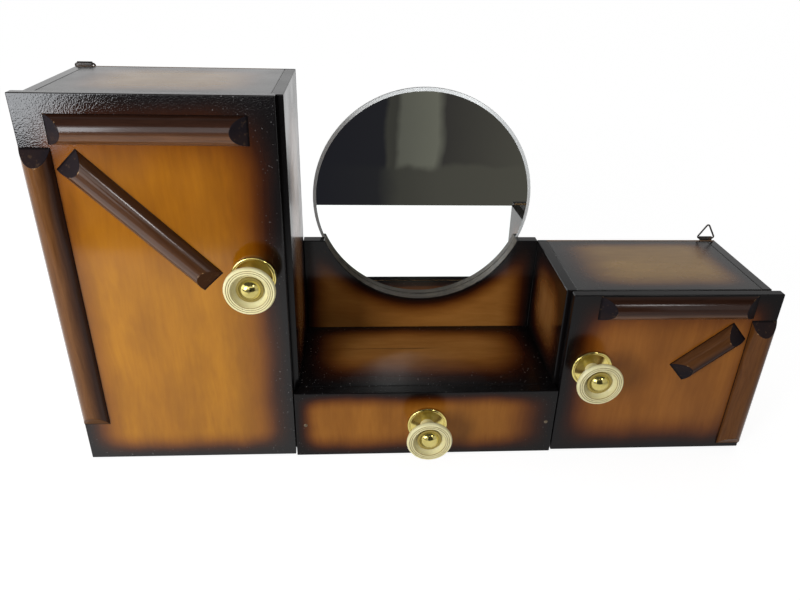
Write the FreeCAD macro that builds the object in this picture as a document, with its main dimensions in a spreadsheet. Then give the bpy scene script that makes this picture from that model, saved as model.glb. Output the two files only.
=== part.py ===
import FreeCAD, Part
import math
import os
import re

import Sketcher
from FreeCAD import Placement, Rotation, Vector

# Mirrored medicine cabinet: a tall and a low cupboard with an open niche, a drawer and a round mirror
# between them. Millimetres, +X to the right, front towards -Y, +Z up.
# The origin is under the middle of the case, on the surface that it stands on.

doc = FreeCAD.newDocument("mirrored_medicine_cabinet")

# Driving sizes

SIZES = [
    ("overall_width", 600.0, "outer edge of the left door to outer edge of the right door"),
    ("case_depth", 106.0, "depth of the upright boards"),
    ("board", 9.0, "thickness of the case boards"),
    ("back_thickness", 3.0, "thickness of the cupboards' back panels"),
    ("centre_back_thickness", 10.5, "thickness of the panel behind the niche"),
    ("edge_round", 0.8, "rounding of every board edge"),
    ("left_case_height", 322.0, "base to the top of the tall cupboard"),
    ("right_case_height", 164.0, "base to the top of the low cupboard"),
    ("niche_floor", 68.5, "base to the niche's floor"),
    ("side_overhang", 5.0, "door edge past the outer side panel"),
    ("front_gap", 0.9, "gap between a door and the drawer front"),
    ("right_partition_shift", 1.6, "right partition's middle past the middle of that gap"),
    ("left_door_width", 182.6, "width of the tall door"),
    ("left_door_height", 321.5, "height of the tall door"),
    ("right_door_width", 180.7, "width of the low door"),
    ("right_door_height", 163.0, "height of the low door"),
    ("door_thickness", 8.0, "thickness of both doors"),
    ("door_rise", 2.0, "base to the lower edge of the doors"),
    ("hinge_gap", 3.6, "case front to the back of the doors"),
    ("drawer_front_height", 68.6, "height of the drawer front"),
    ("drawer_front_rise", 0.4, "base to the lower edge of the drawer front"),
    ("drawer_front_thickness", 11.0, "thickness of the drawer front"),
    ("drawer_board", 8.0, "thickness of the drawer's sides and back"),
    ("drawer_base", 4.0, "thickness of the drawer's bottom"),
    ("drawer_side_gap", 1.0, "drawer side to partition"),
    ("drawer_foot_gap", 0.4, "drawer bottom to the board that it slides on"),
    ("drawer_head_gap", 1.0, "drawer top to the niche shelf"),
    ("drawer_rear_gap", 1.0, "drawer back to the centre back panel"),
    ("shelf_level", 162.0, "base to the upper face of the tall cupboard's shelf"),
    ("shelf_thickness", 8.0, "thickness of that shelf"),
    ("shelf_setback", 8.0, "case front to the shelf's front edge"),
    ("shelf_play", 0.5, "shelf end to the upright beside it"),
    ("cleat_width", 8.0, "shelf cleat, out from the upright"),
    ("cleat_height", 10.0, "shelf cleat, top to bottom"),
    ("mirror_margin", 9.9, "niche wall to the rim of the round glass, on each side"),
    ("mirror_thickness", 4.0, "glass with its silvered back"),
    ("mirror_centre", 202.2, "base to the mirror's centre"),
    ("mirror_bevel", 3.0, "width of the ground bevel"),
    ("mirror_bevel_drop", 1.0, "depth of the bevel at the rim"),
    ("mirror_lap", 3.4, "how far the cut-out laps over the mirror's rim"),
    ("clip_plate", 1.0, "thickness of the mirror clips"),
    ("clip_width", 10.0, "width of a mirror clip"),
    ("clip_foot", 12.0, "clip's foot, out from the mirror's rim"),
    ("clip_tongue", 6.0, "clip's tongue over the mirror's back"),
    ("clip_play", 0.4, "clip to the mirror's rim"),
    ("clip_spread", 55.0, "angle between the lowest clip and the next"),
    ("moulding_width", 22.0, "half-round moulding, across its flat"),
    ("moulding_height", 9.0, "half-round moulding, flat to crest"),
    ("moulding_bevel", 54.0, "angle of the cut ends"),
    ("moulding_edge", 0.3, "side moulding to the door's outer edge"),
    ("moulding_joint", 2.0, "top moulding to the ones below it"),
    ("moulding_gap", 1.2, "side moulding to the slanting one"),
    ("top_moulding_inset", 21.7, "door's outer edge to its top moulding"),
    ("left_top_moulding_length", 141.3, "tall door's top moulding"),
    ("left_top_moulding_drop", 14.0, "tall door's top edge to its top moulding"),
    ("left_side_moulding_length", 246.0, "tall door's upright moulding"),
    ("left_diagonal_drop", 0.6, "tall door's slanting moulding below the side one's end"),
    ("left_diagonal_length", 136.7, "tall door's slanting moulding"),
    ("left_diagonal_slope", 46.0, "angle of the tall door's slanting moulding from level"),
    ("right_top_moulding_length", 136.4, "low door's top moulding"),
    ("right_top_moulding_drop", 1.0, "low door's top edge to its top moulding"),
    ("right_side_moulding_length", 134.0, "low door's upright moulding"),
    ("right_diagonal_drop", 1.7, "low door's slanting moulding below the side one's end"),
    ("right_diagonal_length", 64.0, "low door's slanting moulding"),
    ("right_diagonal_slope", 41.2, "angle of the low door's slanting moulding from level"),
    ("knob_inset", 24.9, "knob centre to the door's free edge"),
    ("left_knob_level", 183.0, "base to the tall door's knob"),
    ("right_knob_level", 93.0, "base to the low door's knob"),
    ("rosette_diameter", 36.0, "brass plate under the knob"),
    ("rosette_plate", 1.6, "thickness of the plate"),
    ("rosette_bead", 3.0, "width of the plate's raised rim"),
    ("rosette_bead_rise", 1.4, "height of the raised rim over the plate"),
    ("knob_diameter", 40.0, "across the knob's disc"),
    ("knob_reach", 26.8, "door front to the disc's rim"),
    ("knob_rim", 4.4, "thickness of the disc at its rim"),
    ("knob_bulge", 1.2, "how far the disc's round edge stands out"),
    ("knob_ring", 1.0, "width of each of the three turned rings on the disc's face"),
    ("knob_groove", 0.6, "width of the groove inside each ring"),
    ("knob_groove_drop", 0.7, "depth of those grooves"),
    ("knob_neck", 10.4, "diameter of the neck"),
    ("knob_waist", 11.0, "door front to the narrowest part of the neck"),
    ("knob_foot", 12.6, "diameter where the neck meets the plate"),
    ("knob_dish", 5.4, "depth of the dish in the disc"),
    ("cap_diameter", 21.0, "brass cap in the dish"),
    ("cap_step", 1.8, "height of the cap's rim"),
    ("cap_ledge", 1.9, "width of the ledge round the cap's dome"),
    ("cap_dome", 5.0, "height of the cap's dome"),
    ("cap_play", 0.2, "cap to the edge of its seat"),
    ("knob_screw", 4.0, "diameter of the knob screws"),
    ("knob_screw_grip", 9.0, "length of screw inside the knob"),
    ("screw_play", 0.05, "radial clearance of a fastener in its hole"),
    ("machine_head", 7.6, "diameter of the knob screws' heads"),
    ("machine_head_height", 2.2, "height of the knob screws' heads"),
    ("wood_screw", 2.4, "diameter of the wood screws"),
    ("wood_head", 4.2, "diameter of the hinge screws' heads"),
    ("wood_head_height", 0.6, "height of the hinge screws' heads"),
    ("hinge_screw_length", 7.0, "length of the hinge screws under the head"),
    ("round_head", 5.6, "diameter of the clip and hanger screws' heads"),
    ("round_head_height", 1.5, "height of those heads"),
    ("clip_screw_length", 8.0, "length of the clip screws under the head"),
    ("hanger_screw_length", 15.0, "length of the hanger screws under the head"),
    ("hanger_screw_shift", 2.8, "middle of a hanger strap out to its screw"),
    ("hanger_screw_drop", 7.0, "case top to the hanger screw"),
    ("nail", 1.6, "diameter of the nails"),
    ("nail_head", 3.4, "diameter of the nail heads"),
    ("nail_head_height", 0.5, "height of the nail heads"),
    ("nail_grip", 10.0, "length of nail in the second board"),
    ("nail_inset", 30.0, "end of a back panel to its first nail"),
    ("hinge_length", 36.0, "length of a hinge"),
    ("hinge_inset", 38.0, "end of a door to the middle of its hinge"),
    ("leaf_width", 8.0, "width of a hinge leaf"),
    ("leaf_plate", 0.9, "thickness of a hinge leaf"),
    ("hinge_barrel", 3.0, "diameter of the hinge barrel"),
    ("hinge_pin", 1.6, "diameter of the hinge pin"),
    ("pin_play", 0.05, "radial running clearance on the pin"),
    ("barrel_clearance", 0.3, "barrel to the side panel"),
    ("knuckle_gap", 0.4, "gap between hinge knuckles"),
    ("hinge_screw_spread", 24.0, "distance between a leaf's two screws"),
    ("catch_width", 11.0, "magnetic catch, out from the partition"),
    ("catch_height", 38.0, "magnetic catch, top to bottom"),
    ("catch_depth", 14.0, "magnetic catch, front to back"),
    ("catch_drop", 80.0, "top of a door to the middle of its catch"),
    ("strike_plate", 1.0, "thickness of the strike plates"),
    ("strike_margin", 1.0, "catch edge to strike plate edge"),
    ("catch_gap", 0.4, "catch to strike plate"),
    ("left_hanger_inset", 11.5, "tall door's outer edge to the middle of its hanger"),
    ("right_hanger_inset", 13.4, "low door's outer edge to the middle of its hanger"),
    ("strap_width", 12.0, "width of a hanger strap"),
    ("strap_plate", 0.9, "thickness of a hanger strap"),
    ("strap_drop", 13.0, "case top to the strap's lower end"),
    ("ring_rise", 1.3, "case top to the ring's pivot"),
    ("ring_wire", 1.6, "diameter of the ring's wire"),
    ("ring_play", 0.08, "radial running clearance of the ring in its strap"),
    ("ring_base", 18.4, "width of the ring's triangle"),
    ("ring_height", 15.3, "height of the ring's triangle"),
    ("ring_bend", 1.6, "bend radius at the triangle's corners"),
    ("left_ring_fall", 160.0, "angle that the left ring has fallen back from upright"),
]

sheet = doc.addObject("Spreadsheet::Sheet", "size")
for row, (alias, value, meaning) in enumerate(SIZES, start=1):
    sheet.set(f"A{row}", str(value))
    sheet.setAlias(f"A{row}", alias)
    sheet.set(f"B{row}", meaning)
doc.recompute()
ALIASES = {alias for alias, value, meaning in SIZES}

# Places worked out from the sizes, as expressions

LEFT_EDGE = "(-overall_width / 2)"
RIGHT_EDGE = "(overall_width / 2)"
CASE_FRONT = "(-case_depth / 2)"
CASE_REAR = "(case_depth / 2)"
DOOR_REAR = f"({CASE_FRONT} - hinge_gap)"
DOOR_FRONT = f"({DOOR_REAR} - door_thickness)"
LEFT_SIDE_OUT = f"({LEFT_EDGE} + side_overhang)"
LEFT_SIDE_IN = f"({LEFT_SIDE_OUT} + board)"
RIGHT_SIDE_OUT = f"({RIGHT_EDGE} - side_overhang)"
RIGHT_SIDE_IN = f"({RIGHT_SIDE_OUT} - board)"
LEFT_SEAM = f"({LEFT_EDGE} + left_door_width + front_gap / 2)"
RIGHT_SEAM = f"({RIGHT_EDGE} - right_door_width - front_gap / 2)"
LEFT_CUPBOARD_WALL = f"({LEFT_SEAM} - board / 2)"
NICHE_LEFT = f"({LEFT_SEAM} + board / 2)"
RIGHT_UPRIGHT = f"({RIGHT_SEAM} + right_partition_shift)"
NICHE_RIGHT = f"({RIGHT_UPRIGHT} - board / 2)"
RIGHT_CUPBOARD_WALL = f"({RIGHT_UPRIGHT} + board / 2)"
NICHE_CENTRE = f"(({NICHE_LEFT} + {NICHE_RIGHT}) / 2)"
NICHE_WIDTH = f"({NICHE_RIGHT} - {NICHE_LEFT})"
PANEL_REAR = f"({CASE_REAR} + centre_back_thickness)"
BACK_REAR = f"({CASE_REAR} + back_thickness)"
DRAWER_LEFT = f"({NICHE_LEFT} + drawer_side_gap)"
DRAWER_RIGHT = f"({NICHE_RIGHT} - drawer_side_gap)"
DRAWER_FRONT_REAR = f"({DOOR_FRONT} + drawer_front_thickness)"
DRAWER_REAR = f"({CASE_REAR} - drawer_rear_gap)"
DRAWER_FLOOR = "(board + drawer_foot_gap + drawer_base)"
DRAWER_TOP = "(niche_floor - board - drawer_head_gap)"
DRAWER_MIDDLE = "(drawer_front_rise + drawer_front_height / 2)"
SHELF_UNDER = "(shelf_level - shelf_thickness)"
MIRROR_DIAMETER = f"({NICHE_WIDTH} - 2 * mirror_margin)"
MIRROR_RADIUS = f"({MIRROR_DIAMETER} / 2)"
HINGE_AXIS_Y = f"({CASE_FRONT} - hinge_gap / 2)"

# Helpers: expressions, sketches and solids

NODES = {}


def bound(text):
    """The expression with each size's name pointed at the sheet."""
    return re.sub(r"[a-z][a-z_]*", lambda m: f"size.{m.group()}" if m.group() in ALIASES else m.group(), text)


def number(text):
    """The expression's value now."""
    return float(sheet.evalExpression(bound(text)))


def bind(thing, **expressions):
    for name, text in expressions.items():
        thing.setExpression(name, bound(text))


def place(thing, x, y, z, axis=None, angle=None):
    """Puts a solid at x, y, z, turned by angle about axis."""
    if axis is not None:
        thing.Placement = Placement(Vector(), Rotation(axis, number(angle)))
        thing.setExpression("Placement.Rotation.Angle", bound(angle))
    for name, text in zip("xyz", (x, y, z)):
        thing.setExpression(f"Placement.Base.{name}", bound(text))
    return thing


def node(label, thing):
    """Names a finished sub-part."""
    thing.Label = label
    NODES[label] = thing
    return thing


def new(kind, label):
    return doc.addObject(kind, label)


def sketch(body, plane, *loops):
    """Closed outlines on one of the body's own planes.

    A corner is (u, v), or (u, v, radius, side) where an arc leads to the next corner; side is 1 or -1,
    for an arc whose centre lies to the left or right of the way there.
    """
    drawing = body.newObject("Sketcher::SketchObject", f"{body.Name}_sketch")
    support = next(f for f in body.Origin.OriginFeatures if f.Role == plane)
    drawing.AttachmentSupport = [(support, "")]
    drawing.MapMode = "FlatFace"
    for corners in loops:
        ends = [draw_edge(drawing, a, b) for a, b in zip(corners, corners[1:] + corners[:1])]
        for (u, v, *arc), (edge, start, stop), following in zip(corners, ends, ends[1:] + ends[:1]):
            drawing.addConstraint(Sketcher.Constraint("Coincident", edge, stop, *following[:2]))
            fix_corner(drawing, edge, start, u, v)
            if arc:
                hold(drawing, Sketcher.Constraint("Radius", edge, number(arc[0])), arc[0])
    return drawing


def draw_edge(drawing, corner, following):
    """Adds a line or arc and gives its number and which of its ends is the first and the second."""
    p = Vector(number(corner[0]), number(corner[1]), 0)
    q = Vector(number(following[0]), number(following[1]), 0)
    if len(corner) == 2:
        return drawing.addGeometry(Part.LineSegment(p, q)), 1, 2
    radius, side = number(corner[2]), corner[3]
    chord = q - p
    normal = Vector(-chord.y, chord.x, 0).normalize() * side
    centre = (p + q) * 0.5 + normal * math.sqrt(radius ** 2 - chord.Length ** 2 / 4)
    first, last = (p, q) if side > 0 else (q, p)
    start = math.atan2(first.y - centre.y, first.x - centre.x)
    stop = math.atan2(last.y - centre.y, last.x - centre.x)
    if stop < start:
        stop += 2 * math.pi
    arc = Part.ArcOfCircle(Part.Circle(centre, Vector(0, 0, 1), radius), start, stop)
    return (drawing.addGeometry(arc), 1, 2) if side > 0 else (drawing.addGeometry(arc), 2, 1)


def fix_corner(drawing, edge, end, u, v):
    """Holds a corner at u, v from the sketch's origin, or on an axis where one of them is 0."""
    for text, kind, axis in ((u, "DistanceX", -2), (v, "DistanceY", -1)):
        if text == "0":
            drawing.addConstraint(Sketcher.Constraint("PointOnObject", edge, end, axis))
        else:
            hold(drawing, Sketcher.Constraint(kind, -1, 1, edge, end, number(text)), text)


def hold(drawing, constraint, text):
    index = drawing.addConstraint(constraint)
    drawing.setExpression(f"Constraints[{index}]", bound(text))


def bow(width, rise):
    """Radius of an arc with this chord and rise."""
    return f"(({width} / 2)^2 + {rise}^2) / (2 * {rise})"


def board(label, x, y, z):
    """A board with rounded edges between two places on each axis."""
    body = new("PartDesign::Body", label)
    blank = body.newObject("PartDesign::AdditiveBox", f"{label}_blank")
    for side, (low, high) in zip(("Length", "Width", "Height"), (x, y, z)):
        bind(blank, **{side: f"{high} - {low}"})
    doc.recompute()
    rounding = body.newObject("PartDesign::Fillet", f"{label}_rounding")
    rounding.Base = (blank, [f"Edge{n}" for n in range(1, len(blank.Shape.Edges) + 1)])
    bind(rounding, Radius="edge_round")
    return place(body, x[0], y[0], z[0])


def block(label, x, y, z):
    """A plain block between two places on each axis."""
    solid = new("Part::Box", label)
    bind(solid, Length=f"{x[1]} - {x[0]}", Width=f"{y[1]} - {y[0]}", Height=f"{z[1]} - {z[0]}")
    return place(solid, x[0], y[0], z[0])


def rod(label, radius, length, x, y, z, axis=None, angle=None):
    solid = new("Part::Cylinder", label)
    bind(solid, Radius=radius, Height=length)
    return place(solid, x, y, z, axis, angle)


def rod_along_y(label, radius, length, x, y, z):
    return rod(label, radius, length, x, y, z, Vector(-1, 0, 0), "90")


def rod_along_x(label, radius, length, x, y, z):
    return rod(label, radius, length, x, y, z, Vector(0, 1, 0), "90")


def fused(label, solids):
    whole = new("Part::MultiFuse", label)
    whole.Shapes = solids
    return whole


def group(label, solids):
    """Like pieces that share one node, as separate solids."""
    together = new("Part::Compound", label)
    together.Links = solids
    return together


def cut(label, base, tools):
    result = new("Part::Cut", label)
    result.Base = base
    result.Tool = tools[0] if len(tools) == 1 else group(f"{label}_holes", tools)
    return result


def turned(label, *profile):
    """A body turned about its Y axis; a corner is (radius, y)."""
    body = new("PartDesign::Body", label)
    drawing = sketch(body, "XY_Plane", list(profile))
    turning = body.newObject("PartDesign::Revolution", f"{label}_turning")
    turning.Profile = drawing
    turning.ReferenceAxis = (drawing, ["V_Axis"])
    turning.Angle = 360
    return body


def fastener(label, x, y, z, heading, shank, head, head_height, length):
    """A screw or nail along Y: its domed head seats at y and its shank points to heading, 1 or -1."""
    body = turned(label,
                  ("0", f"-{heading} * {head_height}", bow(head, head_height), heading),
                  (f"{head} / 2", "0"),
                  (f"{shank} / 2", "0"),
                  (f"{shank} / 2", f"{heading} * {length}"),
                  ("0", f"{heading} * {length}"))
    return place(body, x, y, z)


def hole(label, x, y, z, shank, length):
    """A drilled hole along +Y from y, with room for a fastener's shank."""
    return rod_along_y(label, f"{shank} / 2 + screw_play", length, x, y, z)


# Nail, screw and hinge places, which the boards share with their fasteners

BACK_NAILS = {
    "left_side_panel": [(f"({LEFT_SIDE_OUT} + board / 2)", z) for z in
                        ("nail_inset", "left_case_height / 2", "left_case_height - nail_inset")],
    "left_partition": [(LEFT_SEAM, z) for z in
                       ("nail_inset", "left_case_height / 2", "left_case_height - nail_inset")],
    "right_partition": [(RIGHT_UPRIGHT, z) for z in ("nail_inset", "right_case_height - nail_inset")],
    "right_side_panel": [(f"({RIGHT_SIDE_OUT} - board / 2)", z) for z in
                         ("nail_inset", "right_case_height - nail_inset")],
    "centre_bottom_panel": [(f"{NICHE_LEFT} + nail_inset", "board / 2"),
                            (f"{NICHE_RIGHT} - nail_inset", "board / 2")],
    "niche_shelf": [(f"{NICHE_LEFT} + nail_inset", "niche_floor - board / 2"),
                    (f"{NICHE_RIGHT} - nail_inset", "niche_floor - board / 2")],
}
BACK_OF = {
    "left_side_panel": "left_back_panel", "left_partition": "left_back_panel",
    "right_partition": "right_back_panel", "right_side_panel": "right_back_panel",
    "centre_bottom_panel": "centre_back_panel", "niche_shelf": "centre_back_panel",
}
BACK_PLATE = {"left_back_panel": "back_thickness", "right_back_panel": "back_thickness",
              "centre_back_panel": "centre_back_thickness"}
SIDES = {
    "left": {"sign": "1", "side_out": LEFT_SIDE_OUT, "door_height": "left_door_height",
             "case_height": "left_case_height", "edge": LEFT_EDGE, "upright": "left_side_panel"},
    "right": {"sign": "-1", "side_out": RIGHT_SIDE_OUT, "door_height": "right_door_height",
              "case_height": "right_case_height", "edge": RIGHT_EDGE, "upright": "right_side_panel"},
}


def hinge_middles(side):
    """Heights of a door's two hinges."""
    height = SIDES[side]["door_height"]
    return ["(door_rise + hinge_inset)", f"(door_rise + {height} - hinge_inset)"]


def hinge_screw_places(side):
    """x and z of the screws in a door's hinge leaves."""
    x = f"({SIDES[side]['side_out']} + {SIDES[side]['sign']} * board / 2)"
    return [(x, f"({middle} {way} hinge_screw_spread / 2)") for middle in hinge_middles(side) for way in "-+"]


def hanger_x(side):
    return f"({SIDES[side]['edge']} + {SIDES[side]['sign']} * {side}_hanger_inset)"


def hanger_screw_place(side):
    """x and z of a hanger's screw, which goes into the rear edge of the side panel."""
    return (f"({hanger_x(side)} - {SIDES[side]['sign']} * hanger_screw_shift)",
            f"({SIDES[side]['case_height']} - hanger_screw_drop)")


def clip_angles():
    """Angles of the mirror clips from +X, round the mirror's centre."""
    return ["-90", "(-90 + clip_spread)", "(-90 - clip_spread)"]


def clip_screw_places():
    reach = f"({MIRROR_RADIUS} + clip_play + (clip_foot + clip_plate) / 2)"
    return [(f"{NICHE_CENTRE} + {reach} * cos({angle})", f"mirror_centre + {reach} * sin({angle})")
            for angle in clip_angles()]


# Case boards

FULL_DEPTH = (CASE_FRONT, CASE_REAR)
CASE_BOARDS = {
    "left_side_panel": ((LEFT_SIDE_OUT, LEFT_SIDE_IN), FULL_DEPTH, ("0", "left_case_height")),
    "left_partition": ((LEFT_CUPBOARD_WALL, NICHE_LEFT), FULL_DEPTH, ("0", "left_case_height")),
    "right_partition": ((NICHE_RIGHT, RIGHT_CUPBOARD_WALL), FULL_DEPTH, ("0", "right_case_height")),
    "right_side_panel": ((RIGHT_SIDE_IN, RIGHT_SIDE_OUT), FULL_DEPTH, ("0", "right_case_height")),
    "left_top_panel": ((LEFT_SIDE_IN, LEFT_CUPBOARD_WALL), FULL_DEPTH,
                       ("(left_case_height - board)", "left_case_height")),
    "right_top_panel": ((RIGHT_CUPBOARD_WALL, RIGHT_SIDE_IN), FULL_DEPTH,
                        ("(right_case_height - board)", "right_case_height")),
    "left_bottom_panel": ((LEFT_SIDE_IN, LEFT_CUPBOARD_WALL), FULL_DEPTH, ("0", "board")),
    "centre_bottom_panel": ((NICHE_LEFT, NICHE_RIGHT), FULL_DEPTH, ("0", "board")),
    "right_bottom_panel": ((RIGHT_CUPBOARD_WALL, RIGHT_SIDE_IN), FULL_DEPTH, ("0", "board")),
    "niche_shelf": ((NICHE_LEFT, NICHE_RIGHT), FULL_DEPTH, ("(niche_floor - board)", "niche_floor")),
    "left_back_panel": ((LEFT_SIDE_OUT, NICHE_LEFT), (CASE_REAR, BACK_REAR), ("0", "left_case_height")),
    "right_back_panel": ((NICHE_RIGHT, RIGHT_SIDE_OUT), (CASE_REAR, BACK_REAR), ("0", "right_case_height")),
    "left_cupboard_shelf": ((f"({LEFT_SIDE_IN} + shelf_play)", f"({LEFT_CUPBOARD_WALL} - shelf_play)"),
                            (f"({CASE_FRONT} + shelf_setback)", CASE_REAR),
                            (SHELF_UNDER, "shelf_level")),
}


def centre_back_board():
    """The board behind the niche, with the mirror's round cut-out open at its top."""
    half = f"({NICHE_WIDTH} / 2)"
    radius = f"({MIRROR_RADIUS} - mirror_lap)"
    lip = f"sqrt({radius}^2 - (mirror_centre - right_case_height)^2)"
    body = new("PartDesign::Body", "centre_back_board")
    outline = [(f"-{half}", "0"), (half, "0"), (half, "right_case_height"),
               (lip, "right_case_height", radius, -1), (f"-{lip}", "right_case_height"),
               (f"-{half}", "right_case_height")]
    pad = body.newObject("PartDesign::Pad", "centre_back_pad")
    pad.Profile = sketch(body, "XZ_Plane", outline)
    pad.Reversed = True
    bind(pad, Length="centre_back_thickness")
    doc.recompute()
    rounding = body.newObject("PartDesign::Fillet", "centre_back_rounding")
    rounding.Base = (pad, [f"Edge{n}" for n in range(1, len(pad.Shape.Edges) + 1)])
    bind(rounding, Radius="edge_round")
    return place(body, NICHE_CENTRE, CASE_REAR, "0")


def case_holes(label):
    """The holes that fasteners need in one of the case's boards."""
    holes = [hole(f"{label}_nail_hole", x, f"{CASE_REAR} - nail_grip", z, "nail", "nail_grip")
             for x, z in BACK_NAILS.get(label, [])]
    holes += [hole(f"{label}_nail_hole", x, CASE_REAR, z, "nail", BACK_PLATE[label])
              for upright, back in BACK_OF.items() if back == label for x, z in BACK_NAILS[upright]]
    for side, made in SIDES.items():
        if label == made["upright"]:
            holes += [hole(f"{label}_hinge_hole", x, CASE_FRONT, z, "wood_screw", "hinge_screw_length")
                      for x, z in hinge_screw_places(side)]
            x, z = hanger_screw_place(side)
            depth = "(hanger_screw_length - strap_plate - back_thickness)"
            holes.append(hole(f"{label}_hanger_hole", x, f"{CASE_REAR} - {depth}", z, "wood_screw", depth))
        if label == f"{side}_back_panel":
            x, z = hanger_screw_place(side)
            holes.append(hole(f"{label}_hanger_hole", x, CASE_REAR, z, "wood_screw", "back_thickness"))
    if label == "centre_back_panel":
        depth = "(clip_screw_length - clip_plate)"
        holes += [hole(f"{label}_clip_hole", x, f"{PANEL_REAR} - {depth}", z, "wood_screw", depth)
                  for x, z in clip_screw_places()]
    return holes


def make_case():
    blanks = {label: board(f"{label}_board", *spans) for label, spans in CASE_BOARDS.items()}
    blanks["centre_back_panel"] = centre_back_board()
    for label, blank in blanks.items():
        holes = case_holes(label)
        node(label, cut(label, blank, holes) if holes else blank)
    cleats = []
    for name, x in (("left", (LEFT_SIDE_IN, f"({LEFT_SIDE_IN} + cleat_width)")),
                    ("right", (f"({LEFT_CUPBOARD_WALL} - cleat_width)", LEFT_CUPBOARD_WALL))):
        cleats.append(board(f"{name}_cleat", x, (f"({CASE_FRONT} + shelf_setback)", CASE_REAR),
                            (f"({SHELF_UNDER} - cleat_height)", SHELF_UNDER)))
    node("shelf_cleats", group("shelf_cleats", cleats))
    nails = []
    for upright, places in BACK_NAILS.items():
        plate = BACK_PLATE[BACK_OF[upright]]
        nails += [fastener("back_nail", x, f"{CASE_REAR} + {plate}", z, -1, "nail", "nail_head",
                           "nail_head_height", f"({plate} + nail_grip)") for x, z in places]
    node("back_panel_nails", group("back_panel_nails", nails))


# Mirror and its clips

def make_mirror():
    glass = turned("mirror_glass", ("0", "0"), (f"{MIRROR_RADIUS} - mirror_bevel", "0"),
                   (MIRROR_RADIUS, "mirror_bevel_drop"), (MIRROR_RADIUS, "mirror_thickness"),
                   ("0", "mirror_thickness"))
    node("mirror_glass", place(glass, NICHE_CENTRE, PANEL_REAR, "mirror_centre"))

    rim = f"({MIRROR_RADIUS} + clip_play)"
    inner, outer = f"({MIRROR_RADIUS} - clip_tongue)", f"({rim} + clip_foot)"
    riser, crest = f"({rim} + clip_plate)", "(mirror_thickness + clip_plate)"
    profile = [(rim, "0"), (outer, "0"), (outer, "clip_plate"), (riser, "clip_plate"), (riser, crest),
               (inner, crest), (inner, "mirror_thickness"), (rim, "mirror_thickness")]
    clips, screws = [], []
    for angle, (x, z) in zip(clip_angles(), clip_screw_places()):
        body = new("PartDesign::Body", "mirror_clip")
        pad = body.newObject("PartDesign::Pad", "mirror_clip_pad")
        pad.Profile = sketch(body, "XY_Plane", profile)
        pad.Midplane = True
        bind(pad, Length="clip_width")
        place(body, NICHE_CENTRE, PANEL_REAR, "mirror_centre", Vector(0, -1, 0), angle)
        bore = hole("mirror_clip_hole", x, PANEL_REAR, z, "wood_screw", "clip_plate")
        clips.append(cut("mirror_clip_drilled", body, [bore]))
        screws.append(fastener("mirror_clip_screw", x, f"{PANEL_REAR} + clip_plate", z, -1, "wood_screw",
                               "round_head", "round_head_height", "clip_screw_length"))
    node("mirror_clips", group("mirror_clips", clips))
    node("mirror_clip_screws", group("mirror_clip_screws", screws))


# Hinges: a plate on the case and one on the door, with three knuckles on a pin

KNUCKLE = "((hinge_length - 2 * knuckle_gap) / 3)"


def hinge_axis_x(side):
    made = SIDES[side]
    return f"({made['side_out']} - {made['sign']} * (hinge_barrel / 2 + barrel_clearance))"


def spread(side, start, width):
    """Low and high x of something that runs from start towards the cabinet's middle."""
    return (start, f"({start} + {width})") if side == "left" else (f"({start} - {width})", start)


def hinge_leaf(side, middle, label, y, knuckles):
    """One leaf: its plate, the knuckles that it carries and its two screw holes."""
    axis_x = hinge_axis_x(side)
    plate_x = spread(side, SIDES[side]["side_out"], "leaf_width")
    tab_x = spread(side, axis_x, "(hinge_barrel / 2 + barrel_clearance + leaf_width / 2)")
    low = f"({middle} - hinge_length / 2)"
    solids = [block(f"{label}_plate", plate_x, y, (low, f"({low} + hinge_length)"))]
    for number_along in knuckles:
        foot = f"({low} + {number_along} * ({KNUCKLE} + knuckle_gap))"
        solids.append(block(f"{label}_tab", tab_x, y, (foot, f"({foot} + {KNUCKLE})")))
        solids.append(rod(f"{label}_knuckle", "hinge_barrel / 2", KNUCKLE, axis_x, HINGE_AXIS_Y, foot))
    bores = [rod(f"{label}_bore", "hinge_pin / 2 + pin_play", "hinge_length", axis_x, HINGE_AXIS_Y, low)]
    bores += [hole(f"{label}_hole", x, y[0], z, "wood_screw", "leaf_plate")
              for x, z in hinge_screw_places(side) if z.startswith(f"({middle} ")]
    return cut(f"{label}_leaf", fused(f"{label}_whole", solids), bores)


def make_hinges():
    pins, case_screws = [], []
    case_y = (f"({CASE_FRONT} - leaf_plate)", CASE_FRONT)
    door_y = (DOOR_REAR, f"({DOOR_REAR} + leaf_plate)")
    for side in SIDES:
        middles = hinge_middles(side)
        case_leaves = [hinge_leaf(side, middle, f"{side}_case", case_y, (0, 2)) for middle in middles]
        door_leaves = [hinge_leaf(side, middle, f"{side}_door", door_y, (1,)) for middle in middles]
        node(f"{side}_hinge_case_leaves", group(f"{side}_hinge_case_leaves", case_leaves))
        node(f"{side}_hinge_door_leaves", group(f"{side}_hinge_door_leaves", door_leaves))
        pins += [rod("hinge_pin", "hinge_pin / 2", "hinge_length", hinge_axis_x(side), HINGE_AXIS_Y,
                     f"{middle} - hinge_length / 2") for middle in middles]
        places = hinge_screw_places(side)
        case_screws += [fastener("hinge_case_screw", x, case_y[0], z, 1, "wood_screw", "wood_head",
                                 "wood_head_height", "(hinge_screw_length + leaf_plate)") for x, z in places]
        door_screws = [fastener("hinge_door_screw", x, door_y[1], z, -1, "wood_screw", "wood_head",
                                "wood_head_height", "hinge_screw_length") for x, z in places]
        node(f"{side}_hinge_door_screws", group(f"{side}_hinge_door_screws", door_screws))
    node("hinge_pins", group("hinge_pins", pins))
    node("hinge_case_screws", group("hinge_case_screws", case_screws))


# Knobs: a brass plate, a turned cream body and a brass cap, held by a screw from behind

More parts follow.
